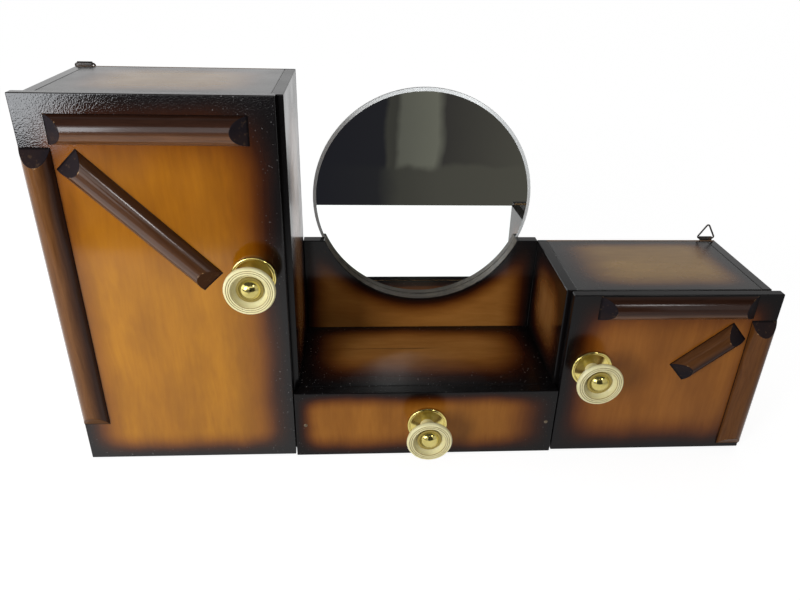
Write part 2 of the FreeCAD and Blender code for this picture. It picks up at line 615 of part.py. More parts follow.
def make_knob(name, x, z, front, panel):
    """A knob on a panel whose front face is at front; panel is its thickness."""
    bore = "(knob_screw / 2 + screw_play)"
    edge = "(rosette_diameter / 2)"
    rosette = turned(f"{name}_knob_rosette", (bore, "0"), (edge, "0"),
                     (edge, "-rosette_plate", bow("rosette_bead", "rosette_bead_rise"), -1),
                     (f"{edge} - rosette_bead", "-rosette_plate"), (bore, "-rosette_plate"))
    node(f"{name}_knob_rosette", place(rosette, x, front, z))

    disc = "(knob_diameter / 2)"
    under = "(knob_reach - knob_rim)"
    seat = "(knob_reach - knob_dish)"
    seat_radius = "(cap_diameter / 2 + cap_play)"
    face_edge = f"({disc} - knob_bulge)"
    groove_floor = "-knob_reach + knob_groove_drop"
    rings = []
    for before in range(3):
        outer = f"({face_edge} - {before} * (knob_ring + knob_groove))"
        inner = f"({outer} - knob_ring)"
        rings += [(outer, "-knob_reach"), (inner, "-knob_reach"), (inner, groove_floor),
                  (f"{inner} - knob_groove", groove_floor)]
    rings[-1] += (f"{disc} / 2", 1)
    bottom = "(rosette_plate + knob_screw_grip)"
    body = turned(
        f"{name}_knob_body",
        (bore, "-rosette_plate"),
        ("knob_foot / 2", "-rosette_plate", "knob_waist", 1),
        ("knob_neck / 2", "-knob_waist", disc, 1),
        (face_edge, f"-{under}", bow("knob_rim", "knob_bulge"), -1),
        *rings,
        (seat_radius, f"-{seat}"),
        ("0", f"-{seat}"),
        ("0", f"-{bottom}"),
        (bore, f"-{bottom}"))
    node(f"{name}_knob_body", place(body, x, front, z))

    dome_radius = "(cap_diameter / 2 - cap_ledge)"
    dome = bow(f"(2 * {dome_radius})", "cap_dome")
    cap = turned(f"{name}_knob_cap", ("0", f"-{seat}"), ("cap_diameter / 2", f"-{seat}"),
                 ("cap_diameter / 2", f"-{seat} - cap_step"), (dome_radius, f"-{seat} - cap_step", dome, -1),
                 ("0", f"-{seat} - cap_step - cap_dome"))
    node(f"{name}_knob_cap", place(cap, x, front, z))
    node(f"{name}_knob_screw",
         fastener(f"{name}_knob_screw", x, f"{front} + {panel}", z, -1, "knob_screw", "machine_head",
                  "machine_head_height", f"({panel} + rosette_plate + knob_screw_grip)"))
    return hole(f"{name}_knob_hole", x, front, z, "knob_screw", panel)


# Mouldings: half-round strips with bevelled ends

def moulding(label, length, x, z, slope):
    """A half-round strip on the door's face, from the middle of its first end along its slope."""
    body = new("PartDesign::Body", label)
    half = "moulding_width / 2"
    section = [("0", half, bow("moulding_width", "moulding_height"), 1), ("0", f"-{half}")]
    pad = body.newObject("PartDesign::Pad", f"{label}_pad")
    pad.Profile = sketch(body, "YZ_Plane", section)
    bind(pad, Length=length)
    doc.recompute()
    whole = pad.Shape.Volume
    run = "moulding_height * tan(moulding_bevel)"
    pocket = body.newObject("PartDesign::Pocket", f"{label}_ends")
    pocket.Profile = sketch(body, "XY_Plane",
                            [("0", "0"), (run, "-moulding_height"), (f"-{run}", "-moulding_height")],
                            [(length, "0"), (f"{length} + {run}", "-moulding_height"),
                             (f"{length} - {run}", "-moulding_height")])
    pocket.Type = "ThroughAll"
    pocket.Midplane = True
    doc.recompute()
    if pocket.Shape.Volume > whole - 1:
        raise RuntimeError(f"{label}: the ends weren't cut")
    return node(label, place(body, x, DOOR_FRONT, z, Vector(0, -1, 0), slope))


# Doors: panel, mouldings, knob, strike plate

def make_door(side, door_x, free_edge, inward, cupboard_wall):
    height = SIDES[side]["door_height"]
    top = f"(door_rise + {height})"
    knob_x = f"({free_edge} - {inward} * knob_inset)"
    holes = [make_knob(side, knob_x, f"{side}_knob_level", DOOR_FRONT, "door_thickness")]
    depth = "(hinge_screw_length - leaf_plate)"
    holes += [hole(f"{side}_door_hinge_hole", x, f"{DOOR_REAR} - {depth}", z, "wood_screw", depth)
              for x, z in hinge_screw_places(side)]
    panel = board(f"{side}_door_board", door_x, (DOOR_FRONT, DOOR_REAR), ("door_rise", top))
    node(f"{side}_door_panel", cut(f"{side}_door_panel", panel, holes))

    # The side moulding runs up the hinge edge, the top one starts beside it and the slanting one
    # starts in the corner between them.
    outer = SIDES[side]["edge"]
    top_middle = f"({top} - {side}_top_moulding_drop - moulding_width / 2)"
    side_x = f"({outer} + {inward} * (moulding_edge + moulding_width / 2))"
    top_x = f"({outer} + {inward} * top_moulding_inset)"
    inner_x = f"({outer} + {inward} * (moulding_edge + moulding_width + moulding_gap))"
    corner_z = f"({top_middle} - moulding_width / 2 - moulding_joint)"
    slope = f"{side}_diagonal_slope"
    level = "0" if side == "left" else "180"
    fall = f"-{slope}" if side == "left" else f"(180 + {slope})"
    moulding(f"{side}_door_top_moulding", f"{side}_top_moulding_length", top_x, top_middle, level)
    moulding(f"{side}_door_side_moulding", f"{side}_side_moulding_length", side_x, corner_z, "-90")
    moulding(f"{side}_door_diagonal_moulding", f"{side}_diagonal_length",
             f"{inner_x} + {inward} * moulding_width / 2 * sin({slope})",
             f"{corner_z} - {side}_diagonal_drop - moulding_width / 2 * cos({slope})", fall)

    # The catch is fixed to the partition's cupboard face and the plate to the door.
    low = f"({top} - catch_drop - catch_height / 2)"
    catch_x = spread(side, f"({cupboard_wall} - {inward} * catch_width)", "catch_width")
    strike_x = (f"({catch_x[0]} + strike_margin)", f"({catch_x[1]} - strike_margin)")
    catch_front = f"({DOOR_REAR} + strike_plate + catch_gap)"
    node(f"{side}_strike_plate",
         block(f"{side}_strike_plate", strike_x, (DOOR_REAR, f"({DOOR_REAR} + strike_plate)"),
               (f"({low} + strike_margin)", f"({low} + catch_height - strike_margin)")))
    return board(f"{side}_catch", catch_x, (catch_front, f"({CASE_FRONT} + catch_depth)"),
                 (low, f"({low} + catch_height)"))


def make_doors():
    left_free = f"({LEFT_EDGE} + left_door_width)"
    right_free = f"({RIGHT_EDGE} - right_door_width)"
    catches = [make_door("left", (LEFT_EDGE, left_free), left_free, "1", LEFT_CUPBOARD_WALL),
               make_door("right", (right_free, RIGHT_EDGE), right_free, "(-1)", RIGHT_CUPBOARD_WALL)]
    node("door_catches", group("door_catches", catches))


# Drawer

def make_drawer():
    front_x = (f"({LEFT_SEAM} + front_gap / 2)", f"({RIGHT_SEAM} - front_gap / 2)")
    side_y = (DRAWER_FRONT_REAR, DRAWER_REAR)
    side_z = (DRAWER_FLOOR, DRAWER_TOP)
    nail_places = [f"({DRAWER_LEFT} + drawer_board / 2)", f"({DRAWER_RIGHT} - drawer_board / 2)"]
    holes = [make_knob("drawer", NICHE_CENTRE, DRAWER_MIDDLE, DOOR_FRONT, "drawer_front_thickness")]
    holes += [hole("drawer_front_nail_hole", x, DOOR_FRONT, DRAWER_MIDDLE, "nail", "drawer_front_thickness")
              for x in nail_places]
    front = board("drawer_front_board", front_x, (DOOR_FRONT, DRAWER_FRONT_REAR),
                  ("drawer_front_rise", "(drawer_front_rise + drawer_front_height)"))
    node("drawer_front", cut("drawer_front", front, holes))

    sides = []
    for x, nail_x in zip(((DRAWER_LEFT, f"({DRAWER_LEFT} + drawer_board)"),
                          (f"({DRAWER_RIGHT} - drawer_board)", DRAWER_RIGHT)), nail_places):
        side = board("drawer_side_board", x, side_y, side_z)
        bore = hole("drawer_side_nail_hole", nail_x, DRAWER_FRONT_REAR, DRAWER_MIDDLE, "nail", "nail_grip")
        sides.append(cut("drawer_side", side, [bore]))
    node("drawer_sides", group("drawer_sides", sides))
    back_x = (f"({DRAWER_LEFT} + drawer_board)", f"({DRAWER_RIGHT} - drawer_board)")
    back_y = (f"({DRAWER_REAR} - drawer_board)", DRAWER_REAR)
    node("drawer_back", board("drawer_back", back_x, back_y, side_z))
    node("drawer_bottom", board("drawer_bottom", (DRAWER_LEFT, DRAWER_RIGHT), side_y,
                                (f"({DRAWER_FLOOR} - drawer_base)", DRAWER_FLOOR)))
    nails = [fastener("drawer_front_nail", x, DOOR_FRONT, DRAWER_MIDDLE, 1, "nail", "nail_head",
                      "nail_head_height", "(drawer_front_thickness + nail_grip)") for x in nail_places]
    node("drawer_front_nails", group("drawer_front_nails", nails))


# Hangers: a strap rolled round the straight side of a wire triangle

def ring_wire_path():
    """The triangle's centre line, with rounded corners, from the middle of its straight side."""
    half, height, bend = number("ring_base / 2"), number("ring_height"), number("ring_bend")
    corners = [Vector(half, 0, 0), Vector(0, 0, height), Vector(-half, 0, 0)]
    start = Vector(0, 0, 0)
    edges, here = [], start
    for index, corner in enumerate(corners):
        before = (start if index == 0 else corners[index - 1]) - corner
        after = (corners[index + 1] if index < 2 else start) - corner
        before.normalize()
        after.normalize()
        half_angle = before.getAngle(after) / 2
        reach = bend / math.tan(half_angle)
        bisector = (before + after).normalize()
        crown = corner + bisector * (bend / math.sin(half_angle) - bend)
        enter, leave = corner + before * reach, corner + after * reach
        edges.append(Part.LineSegment(here, enter).toShape())
        edges.append(Part.Arc(enter, crown, leave).toShape())
        here = leave
    edges.append(Part.LineSegment(here, start).toShape())
    return Part.Wire(edges)


def make_hangers():
    straps, screws = [], []
    eye = "(ring_wire / 2 + ring_play)"
    axis_y = f"({BACK_REAR} + strap_plate + {eye})"
    for side, made in SIDES.items():
        x = hanger_x(side)
        screw_x, screw_z = hanger_screw_place(side)
        axis_z = f"({made['case_height']} + ring_rise)"
        low_x = f"({x} - strap_width / 2)"
        plate = block(f"{side}_strap_plate", (low_x, f"({low_x} + strap_width)"),
                      (BACK_REAR, f"({BACK_REAR} + strap_plate)"),
                      (f"({made['case_height']} - strap_drop)", axis_z))
        roll = rod_along_x(f"{side}_strap_roll", f"{eye} + strap_plate", "strap_width", low_x, axis_y, axis_z)
        bores = [rod_along_x(f"{side}_strap_eye", eye, "strap_width", low_x, axis_y, axis_z),
                 hole(f"{side}_strap_hole", screw_x, BACK_REAR, screw_z, "wood_screw", "strap_plate")]
        straps.append(cut(f"{side}_strap", fused(f"{side}_strap_whole", [plate, roll]), bores))
        screws.append(fastener("hanger_screw", screw_x, f"{BACK_REAR} + strap_plate", screw_z, -1,
                               "wood_screw", "round_head", "round_head_height", "hanger_screw_length"))

        path = ring_wire_path()
        section = Part.Wire([Part.makeCircle(number("ring_wire / 2"), Vector(0, 0, 0), Vector(1, 0, 0))])
        ring = new("Part::Feature", f"{side}_hanger_ring")
        ring.Shape = path.makePipeShell([section], True, False)
        fall = number("-left_ring_fall") if side == "left" else 0
        ring.Placement = Placement(Vector(number(x), number(axis_y), number(axis_z)),
                                   Rotation(Vector(1, 0, 0), fall))
        node(f"{side}_hanger_ring", ring)
    node("hanger_straps", group("hanger_straps", straps))
    node("hanger_screws", group("hanger_screws", screws))


# Build, check and write

make_case()
make_mirror()
make_hinges()
make_doors()
make_drawer()
make_hangers()
doc.recompute()

for thing in doc.Objects:
    if "Invalid" in thing.State or "Error" in thing.State:
        raise RuntimeError(f"{thing.Label} failed: {thing.State}")
for label, thing in NODES.items():
    if thing.Shape.isNull() or not thing.Shape.isValid() or not thing.Shape.Solids:
        raise RuntimeError(f"{label} has no valid solid")

os.makedirs("parts", exist_ok=True)
for label, thing in NODES.items():
    thing.Shape.exportStep(f"parts/{label}.step")
print(len(NODES), "sub-parts written")
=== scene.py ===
import math
from typing import NamedTuple

import bpy
from mathutils import Matrix, Vector


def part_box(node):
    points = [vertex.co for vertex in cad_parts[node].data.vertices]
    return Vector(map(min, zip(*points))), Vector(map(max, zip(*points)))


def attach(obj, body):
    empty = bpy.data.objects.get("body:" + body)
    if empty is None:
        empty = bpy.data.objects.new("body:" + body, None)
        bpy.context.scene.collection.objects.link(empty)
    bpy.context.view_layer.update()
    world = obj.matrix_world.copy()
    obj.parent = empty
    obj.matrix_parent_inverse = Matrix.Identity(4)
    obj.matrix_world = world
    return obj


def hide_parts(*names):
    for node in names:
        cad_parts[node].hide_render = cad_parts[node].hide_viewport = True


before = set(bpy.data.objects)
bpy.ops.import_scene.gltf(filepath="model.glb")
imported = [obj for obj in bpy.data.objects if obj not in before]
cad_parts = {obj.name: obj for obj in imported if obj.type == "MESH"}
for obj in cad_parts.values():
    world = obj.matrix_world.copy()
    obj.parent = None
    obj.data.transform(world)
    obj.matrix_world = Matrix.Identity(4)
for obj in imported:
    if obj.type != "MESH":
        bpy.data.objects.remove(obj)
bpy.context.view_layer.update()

bl_info = {
    "name": "Mirrored medicine cabinet",
    "version": (1, 0, 0),
    "blender": (4, 5, 0),
    "location": "View3D > Sidebar > Cabinet",
    "description": "Sunburst finishes, small fittings and studio for a mirrored wall cabinet",
    "category": "Object",
}

MM = 0.001
X, Y, Z = range(3)


# Properties that a user would change

def colour(name, description, default):
    return bpy.props.FloatVectorProperty(name=name, description=description, default=default, size=3,
                                         min=0.0, max=1.0, subtype="COLOR")


def level(name, description, default, **kind):
    return bpy.props.FloatProperty(name=name, description=description, default=default, min=0.0, **kind)


def distance(name, description, default):
    return level(name, description, default, precision=5, unit="LENGTH", subtype="DISTANCE")


def angle(name, description, degrees):
    return level(name, description, math.radians(degrees), unit="ROTATION", subtype="ANGLE")


class CabinetColours(bpy.types.PropertyGroup):
    tall_door: colour("Tall door", "Amber stain in the upper part of the tall door", (0.335, 0.116, 0.003))
    # Painted light: the tall door's foot is coloured paler, standing in for the light and reflection of the
    # white sheet below it.
    tall_foot: colour("Tall foot", "Paler colour in the lower part of the tall door, painted light from the white sheet", (0.412, 0.160, 0.004))
    low_door: colour("Low door", "Amber stain in the middle of the low door", (0.332, 0.115, 0.015))
    drawer: colour("Drawer", "Amber stain in the middle of the drawer front", (0.332, 0.124, 0.015))
    niche: colour("Niche", "Amber stain on the back of the niche", (0.335, 0.138, 0.028))
    walls: colour("Niche walls", "Amber stain on the walls of the niche", (0.245, 0.106, 0.030))
    shelf: colour("Shelf", "Amber stain on the floor of the niche", (0.42, 0.178, 0.040))
    outside: colour("Tops and sides", "Amber stain on the tops and outer sides", (0.42, 0.232, 0.055))
    burst_edge: colour("Burst edge", "Black-brown sprayed along the boards' edges", (0.0045, 0.0038, 0.0042))
    moulding: colour("Mouldings", "Dark stain on the mouldings", (0.036, 0.014, 0.008))
    # Painted light: one half of the top and low slanting mouldings is coloured lighter where light falls on
    # the half-round.
    lit_moulding: colour("Rubbed mouldings", "Stain on the mouldings' rubbed half", (0.115, 0.047, 0.017))
    slant: colour("Slanting moulding", "Stain on the tall door's slanting moulding", (0.070, 0.028, 0.011))
    tall_side: colour("Tall side", "Lighter stain on the tall door's side moulding", (0.138, 0.056, 0.016))
    low_side: colour("Low side", "Lighter stain on the low door's side moulding", (0.148, 0.055, 0.013))
    bare_wood: colour("Bare wood", "Unfinished wood inside the cupboards and drawer", (0.52, 0.35, 0.19))
    hardboard: colour("Hardboard", "Back panels and drawer bottom", (0.21, 0.115, 0.055))
    cream: colour("Cream", "Turned plastic of the knobs", (0.91, 0.845, 0.485))
    brass: colour("Brass", "Polished plates and caps of the knobs", (0.68, 0.58, 0.20))
    steel: colour("Steel", "Hinges, clips, screws and strike plates", (0.56, 0.55, 0.52))
    dark_steel: colour("Dark steel", "Hanger straps, wire rings and nails", (0.024, 0.021, 0.019))
    rust: colour("Rust", "Brown patches on the dark steel", (0.085, 0.036, 0.014))
    nail: colour("Nail heads", "Dull heads of the nails in the drawer front", (0.15, 0.12, 0.085))
    catch: colour("Catch", "Plastic body of the magnetic catches", (0.020, 0.020, 0.021))
    silver: colour("Silver", "Reflecting coat of the mirror", (0.93, 0.95, 0.94))
    glass_edge: colour("Glass edge", "Outer edge of the mirror's glass", (0.08, 0.10, 0.095))
    mirror_back: colour("Mirror back", "Paint over the silver on the mirror's back", (0.16, 0.12, 0.09))
    dust: colour("Dust", "Specks caught in the sprayed lacquer", (0.42, 0.41, 0.40))
    cut_end: colour("Cut ends", "Black paint on the ends of the mouldings", (0.014, 0.012, 0.015))
    # Partly painted reflection: the cut edge's dark paint is coloured lighter to stand in for the reflections
    # on its gloss.
    cut_edge: colour("Cut edge", "Painted edge of the round cut-out", (0.080, 0.066, 0.047))


class CabinetSizes(bpy.types.PropertyGroup):
    burst_drift: distance("Burst drift", "How far the sprayed fade wanders from a straight line", 4 * MM)
    peel_depth: distance("Orange peel", "Depth of the ripple in the thickly sprayed lacquer", 0.09 * MM)
    wear_width: distance("Edge wear", "Width of the rubbed line on the board edges", 0.9 * MM)
    mirror_lean: angle("Mirror lean", "How far back the mirror's reflection leans", 2.0)
    slot_width: distance("Screw slot", "Width of the slot in a screw's head", 0.8 * MM)
    moulding_bevel: angle("Moulding bevel", "Angle of the mouldings' cut ends", 54.0)
    tall_slope: angle("Tall slope", "Slope of the tall door's slanting moulding", 46.0)
    low_slope: angle("Low slope", "Slope of the low door's slanting moulding", 41.2)


class CabinetStudio(bpy.types.PropertyGroup):
    sheet_reach: distance("Sheet reach", "White sheet's front edge, out from the cabinet's middle", 0.62)
    left_reach: distance("Left reach", "The sheet's front edge in front of the tall door", 0.532)
    window_radiance: level("Window", "Brightness of the window at the front left", 12.0)
    lamp_radiance: level("Lamp", "Brightness of the small lamp above the camera", 4.0)
    side_radiance: level("Side lamp", "Brightness of the lamp at the front right, in gloss alone", 17.0)
    sky_light: level("Sky", "Even light from all round", 0.36)


# Colours and patterns

class Pattern(NamedTuple):
    """A cloudy pattern: marks to the metre, levels of detail and how rough these are.

    Then the values between which its mask rises from nought to one.
    """
    scale: float
    detail: float = 2.0
    roughness: float = 0.5
    start: float = 0.0
    end: float = 1.0


PATTERNS = {
    "drift": Pattern(17, 3),
    "bend": Pattern(16, 1),
    "figure": Pattern(26, 1, start=0.25, end=0.75),
    "mottle": Pattern(32, 4, 0.6, 0.30, 0.70),
    "streaks": Pattern(330, 4, 0.62, 0.28, 0.72),
    "pores": Pattern(1500, 1, start=0.62, end=0.74),
    "line": Pattern(40),
    "ripple": Pattern(950, 1),
    "specks": Pattern(600, 1, start=0.71, end=0.77),
    "smears": Pattern(24, 4, 0.6, 0.3, 0.7),
    "rubs": Pattern(95, 5, 0.7),
    "chips": Pattern(240, 4, 0.7, 0.58, 0.66),
    "clouds": Pattern(130, 5, 0.65, 0.32, 0.70),
    "scratches": Pattern(2600, start=0.40, end=0.66),
    "rust": Pattern(420, 4, 0.7, 0.55, 0.68),
    "fibres": Pattern(900, 5, 0.7, 0.3, 0.7),
    "flecks": Pattern(260, 3, start=0.60, end=0.75),
    "weave": Pattern(6, 3),
    "room": Pattern(11, 3),
}


def grey(tone):
    return (tone, tone, tone, 1.0)


WHITE = grey(1.0)


def shade(tint, factor=WHITE):
    """A stored colour, scaled on each channel, as a socket takes it."""
    return (*(part * scale for part, scale in zip(tint, factor)), 1.0)


# Node trees

SOCKETS = {"base": "Base Color", "ior": "IOR", "coat": "Coat Weight", "coat_ior": "Coat IOR",
           "coat_rough": "Coat Roughness"}


class Wiring:
    """Adds nodes to an emptied tree and joins them, so that a finish reads as a list of steps.

    Its place is the socket that patterns are read at, unless another is given.
    """

    def __init__(self, tree):
        self.tree, self.place = tree, None
        tree.nodes.clear()

    def feed(self, socket, value):
        if isinstance(value, bpy.types.NodeSocket):
            self.tree.links.new(value, socket)
        else:
            socket.default_value = value

    def node(self, kind, feeds=None, **settings):
        made = self.tree.nodes.new(kind)
        for name, value in settings.items():
            setattr(made, name, value)
        for socket, value in (feeds or {}).items():
            self.feed(made.inputs[socket], value)
        return made

    def effect(self, name, place=None, **feeds):
        """A shared group placed in this tree; underscores in the feeds stand for spaces."""
        labelled = {label.replace("_", " ").title(): value for label, value in feeds.items()}
        feeds = {"Coordinates": place or self.place, **labelled}
        return self.node("ShaderNodeGroup", feeds, node_tree=shared(name)).outputs

    def math(self, operation, *values):
        return self.node("ShaderNodeMath", dict(enumerate(values)), operation=operation).outputs[0]

    def fold(self, operation, first, *others):
        """One operation worked through a row of values."""
        for other in others:
            first = self.math(operation, first, other)
        return first

    def times(self, *values):
        return self.fold("MULTIPLY", *values)

    def apart(self, first, second):
        return self.math("ABSOLUTE", self.math("SUBTRACT", first, second))

    def vector(self, operation, *values):
        made = self.node("ShaderNodeVectorMath", dict(enumerate(values)), operation=operation)
        return made.outputs["Value" if operation == "DISTANCE" else "Vector"]

    def axes(self, vector=None):
        return self.node("ShaderNodeSeparateXYZ", {0: vector or self.place}).outputs

    def span(self, value, start, end, low=0.0, high=1.0):
        """A soft step from low to high while the value goes from start to end."""
        made = self.node("ShaderNodeMapRange", {0: value, 1: start, 2: end, 3: low, 4: high},
                         interpolation_type="SMOOTHSTEP")
        return made.outputs[0]

    def between(self, mask, low, high):
        return self.span(mask, 0.0, 1.0, low, high)

    def steps(self, vector, start, end):
        """The same soft step on each axis of a vector."""
        made = self.node("ShaderNodeMapRange", {6: vector, 7: start, 8: end}, data_type="FLOAT_VECTOR",
                         interpolation_type="SMOOTHSTEP")
        return made.outputs[1]

    def noise(self, name, place=None):
        scale, detail, roughness, _, _ = PATTERNS[name]
        feeds = {"Vector": place or self.place, "Scale": scale, "Detail": detail, "Roughness": roughness}
        return self.node("ShaderNodeTexNoise", feeds).outputs

    def marks(self, name, low=0.0, high=1.0, place=None):
        """A pattern's mask, from low to high."""
        return self.span(self.noise(name, place)[0], PATTERNS[name].start, PATTERNS[name].end, low, high)

    def mix(self, share, first, second):
        return self.node("ShaderNodeMix", {0: share, 2: first, 3: second}).outputs[0]

    def blend(self, share, first, second, how="MIX"):
        made = self.node("ShaderNodeMix", {0: share, 6: first, 7: second}, data_type="RGBA", blend_type=how)
        return made.outputs[2]

    def tones(self, share, tint, start, end=WHITE):
        """A stored colour going from one scaling of it to another."""
        return self.blend(share, shade(tint, start), shade(tint, end))

    def ramp(self, value, *stops):
        made = self.node("ShaderNodeValToRGB", {0: value})
        elements = made.color_ramp.elements
        for element, (place, tone) in zip(elements, (stops[0], stops[-1])):
            element.position, element.color = place, tone
        for place, tone in stops[1:-1]:
            elements.new(place).color = tone
        return made.outputs[0]


def node_tree(holder):
    """The node tree of a material or a world."""
    holder.use_nodes = True
    return holder.node_tree


class Finish(Wiring):
    """A material with its shader; its place is that on the piece, in metres."""

    def __init__(self, name, shader="ShaderNodeBsdfPrincipled"):
        self.material = bpy.data.materials.new(name)
        super().__init__(node_tree(self.material))
        self.place = self.node("ShaderNodeTexCoord").outputs["Object"]
        self.shader = self.node(shader)
        self.node("ShaderNodeOutputMaterial", {"Surface": self.shader.outputs[0]})

    def done(self, height=None, depth=0.0, **feeds):
        """Feeds the shader, bumps it where a height is given, and hands over the material."""
        for name, value in feeds.items():
            self.feed(self.shader.inputs[SOCKETS.get(name, name.title())], value)
        if height is not None:
            bump = self.node("ShaderNodeBump", {"Strength": 1.0, "Distance": depth, "Height": height})
            self.feed(self.shader.inputs["Normal"], bump.outputs[0])
        return self.material


def dress(finish, *nodes):
    """Puts a finish on CAD nodes."""
    for node in nodes:
        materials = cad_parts[node].data.materials
        materials.clear()
        materials.append(finish)


# Effects that several finishes share

HALF = (0.5, 0.5, 0.5)
GRAIN_BEND = (0.012, 0.012, 0.012)
MOTTLE_WIDTH = (0.35, 0.35, 0.35)
SCRATCH_STRETCH = (1.0, 1.0, 0.05)
LACQUER_ROUGHNESS = (0.085, 0.15)
WEAR_LIMIT, WEAR_FALL, WEAR_BLUR = 0.80, 0.22, 0.05


def sunburst(wiring, low, low_inside, high, high_inside, drift):
    """One in the amber middle of a board, falling to nought at the sprayed edges."""
    sway = wiring.vector("SUBTRACT", wiring.noise("drift")["Color"], HALF)
    reach = wiring.node("ShaderNodeCombineXYZ", {axis: drift for axis in (X, Y, Z)}).outputs[0]
    swayed = wiring.vector("ADD", wiring.place, wiring.vector("MULTIPLY", sway, reach))
    rising = wiring.steps(swayed, low, low_inside)
    falling = wiring.steps(swayed, high, high_inside)
    return {"Centre": wiring.times(*wiring.axes(wiring.vector("MULTIPLY", rising, falling)))}


def wood_grain(wiring, stretch):
    """Streaks, pores and broad figure of wood, drawn out along the axis that the stretch makes small."""
    bend = wiring.vector("SUBTRACT", wiring.noise("bend")["Color"], HALF)
    drawn = wiring.vector("MULTIPLY", wiring.vector("MULTIPLY_ADD", bend, GRAIN_BEND, wiring.place), stretch)
    softened = wiring.vector("MULTIPLY", wiring.place, wiring.vector("ADD", stretch, MOTTLE_WIDTH))
    marks = {name.title(): wiring.marks(name, place=drawn) for name in ("streaks", "pores", "figure")}
    return {**marks, "Mottle": wiring.marks("mottle", place=softened)}


def lacquer(wiring):
    """Ripple and specks of sprayed lacquer, and the uneven polish that handling leaves on it."""
    return {"Height": wiring.noise("ripple")[0], "Specks": wiring.marks("specks"),
            "Roughness": wiring.marks("smears", *LACQUER_ROUGHNESS)}


def edge_wear(wiring, low, high, width, amount):
    """Rubbed places along the edges of a box, from the second nearest of its faces."""
    each = wiring.axes(wiring.vector("MINIMUM", wiring.vector("SUBTRACT", wiring.place, low),
                                     wiring.vector("SUBTRACT", high, wiring.place)))
    least, most, total = (wiring.fold(how, *each) for how in ("MINIMUM", "MAXIMUM", "ADD"))
    share = wiring.math("DIVIDE", wiring.fold("SUBTRACT", total, least, most), width)
    rubs = wiring.math("SUBTRACT", wiring.noise("rubs")[0], wiring.times(share, WEAR_FALL))
    limit = wiring.math("SUBTRACT", WEAR_LIMIT, amount)
    return {"Wear": wiring.span(rubs, limit, wiring.math("ADD", limit, WEAR_BLUR))}


def tarnish(wiring):
    """Cloudy patches and fine scratches for metal and moulded plastic."""
    drawn = wiring.vector("MULTIPLY", wiring.place, SCRATCH_STRETCH)
    return {"Clouds": wiring.marks("clouds"), "Scratches": wiring.marks("scratches", place=drawn)}


# What builds each effect, and the vectors and values that it takes besides the place
EFFECTS = {
    "Sunburst": (sunburst, ("Low", "Low Inside", "High", "High Inside"), ("Drift",)),
    "Wood Grain": (wood_grain, ("Stretch",), ()),
    "Lacquer": (lacquer, (), ()),
    "Edge Wear": (edge_wear, ("Low", "High"), ("Width", "Amount")),
    "Tarnish": (tarnish, (), ()),
}


def shared(name):
    """The node group of an effect, built the first time that a finish asks for it."""
    if name in bpy.data.node_groups:
        return bpy.data.node_groups[name]
    build, vectors, values = EFFECTS[name]
    tree = bpy.data.node_groups.new(name, "ShaderNodeTree")

    def add_sockets(labels, way, kind):
        for label in labels:
            tree.interface.new_socket(label, in_out=way, socket_type=kind)

    add_sockets(("Coordinates", *vectors), "INPUT", "NodeSocketVector")
    add_sockets(values, "INPUT", "NodeSocketFloat")
    wiring = Wiring(tree)
    given = wiring.node("NodeGroupInput").outputs
    wiring.place = given["Coordinates"]
    results = build(wiring, *(given[label] for label in (*vectors, *values)))
    add_sockets(results, "OUTPUT", "NodeSocketFloat")
    wiring.node("NodeGroupOutput", results)
    return tree


# Wood

FAR = 10.0
EDGES = {"left": (X, -1), "right": (X, 1), "front": (Y, -1), "rear": (Y, 1), "bottom": (Z, -1), "top": (Z, 1)}
ALONG = 0.055
STRETCHES = {"x": (ALONG, 1.0, 1.0), "y": (1.0, ALONG, 1.0), "z": (1.0, 1.0, ALONG)}
NICHE_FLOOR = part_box("niche_shelf")[1].z
FOOT_TOP, FOOT_LEVEL = 0.235, 0.165
MIRROR_LAP = 3.4 * MM
CUT_OUT_FADE = 25 * MM
CUT_SKIN, CUT_EDGE_ROUGHNESS = (0.3 * MM, 0.2 * MM), 0.4
RAW_SKIN, RAW_ROUGHNESS, RAW_DEPTH, FIBRE_DEPTH = 0.12 * MM, 0.62, 0.05 * MM, 0.08 * MM
STREAK_STRENGTH, PORE_STRENGTH, FLECK_STRENGTH = 0.45, 0.5, 0.6
SPRAYED_SHARE = 0.4
RIPPLE_START, RIPPLE_ELSEWHERE, THICK_ROUGHNESS = 15 * MM, 0.05, 0.05
LINE_WIDTH, LINE_SWAY, LINE_STRENGTH = (0.8 * MM, 0.2 * MM), 5 * MM, 0.7
LINE_START_FADE, LINE_END_FADE = 20, 30
NICHE_SIDE = (126 * MM, 124 * MM)

# The burst's tones by its share of clear stain, then those of the grain's marks where each is weak and strong
SPRAY = ((0.15, (0.10, 0.06, 0.10)), (0.32, (0.31, 0.22, 0.20)), (0.60, (0.63, 0.54, 0.45)), (1.0, WHITE))
BOARD_GRAIN = {"Figure": ((0.92, 0.90, 0.88), (1.05, 1.06, 1.07)),
               "Mottle": ((0.86, 0.84, 0.80), (1.11, 1.13, 1.15)),
               "Streaks": ((1.03, 1.03, 1.03), (0.93, 0.90, 0.87))}
STRIP_GRAIN = {"Figure": ((0.80, 0.78, 0.76), (1.15, 1.13, 1.10)),
               "Streaks": ((1.08, 1.08, 1.08), (0.74, 0.70, 0.66))}


class Board(NamedTuple):
    """A sprayed board: its finished face, grain axis, stain and fade at each edge in millimetres.

    Then the strength of its gloss, how much duller than the rest it is, how worn its edges are, the lower
    limit of the burst, the height above which the spray is rippled, a paler colour for its foot painted as
    the white sheet's light, how much dust its lacquer caught, and a dark line in its grain as depth, start
    and end in millimetres.
    """
    face: str
    grain: str
    stain: str
    fades: dict
    ior: float = 1.42
    dulled: float = 0.0
    worn: float = 0.0
    floor: float = -FAR
    rippled: float = FAR
    foot: str = ""
    dusty: float = 0.0
    line: tuple = ()


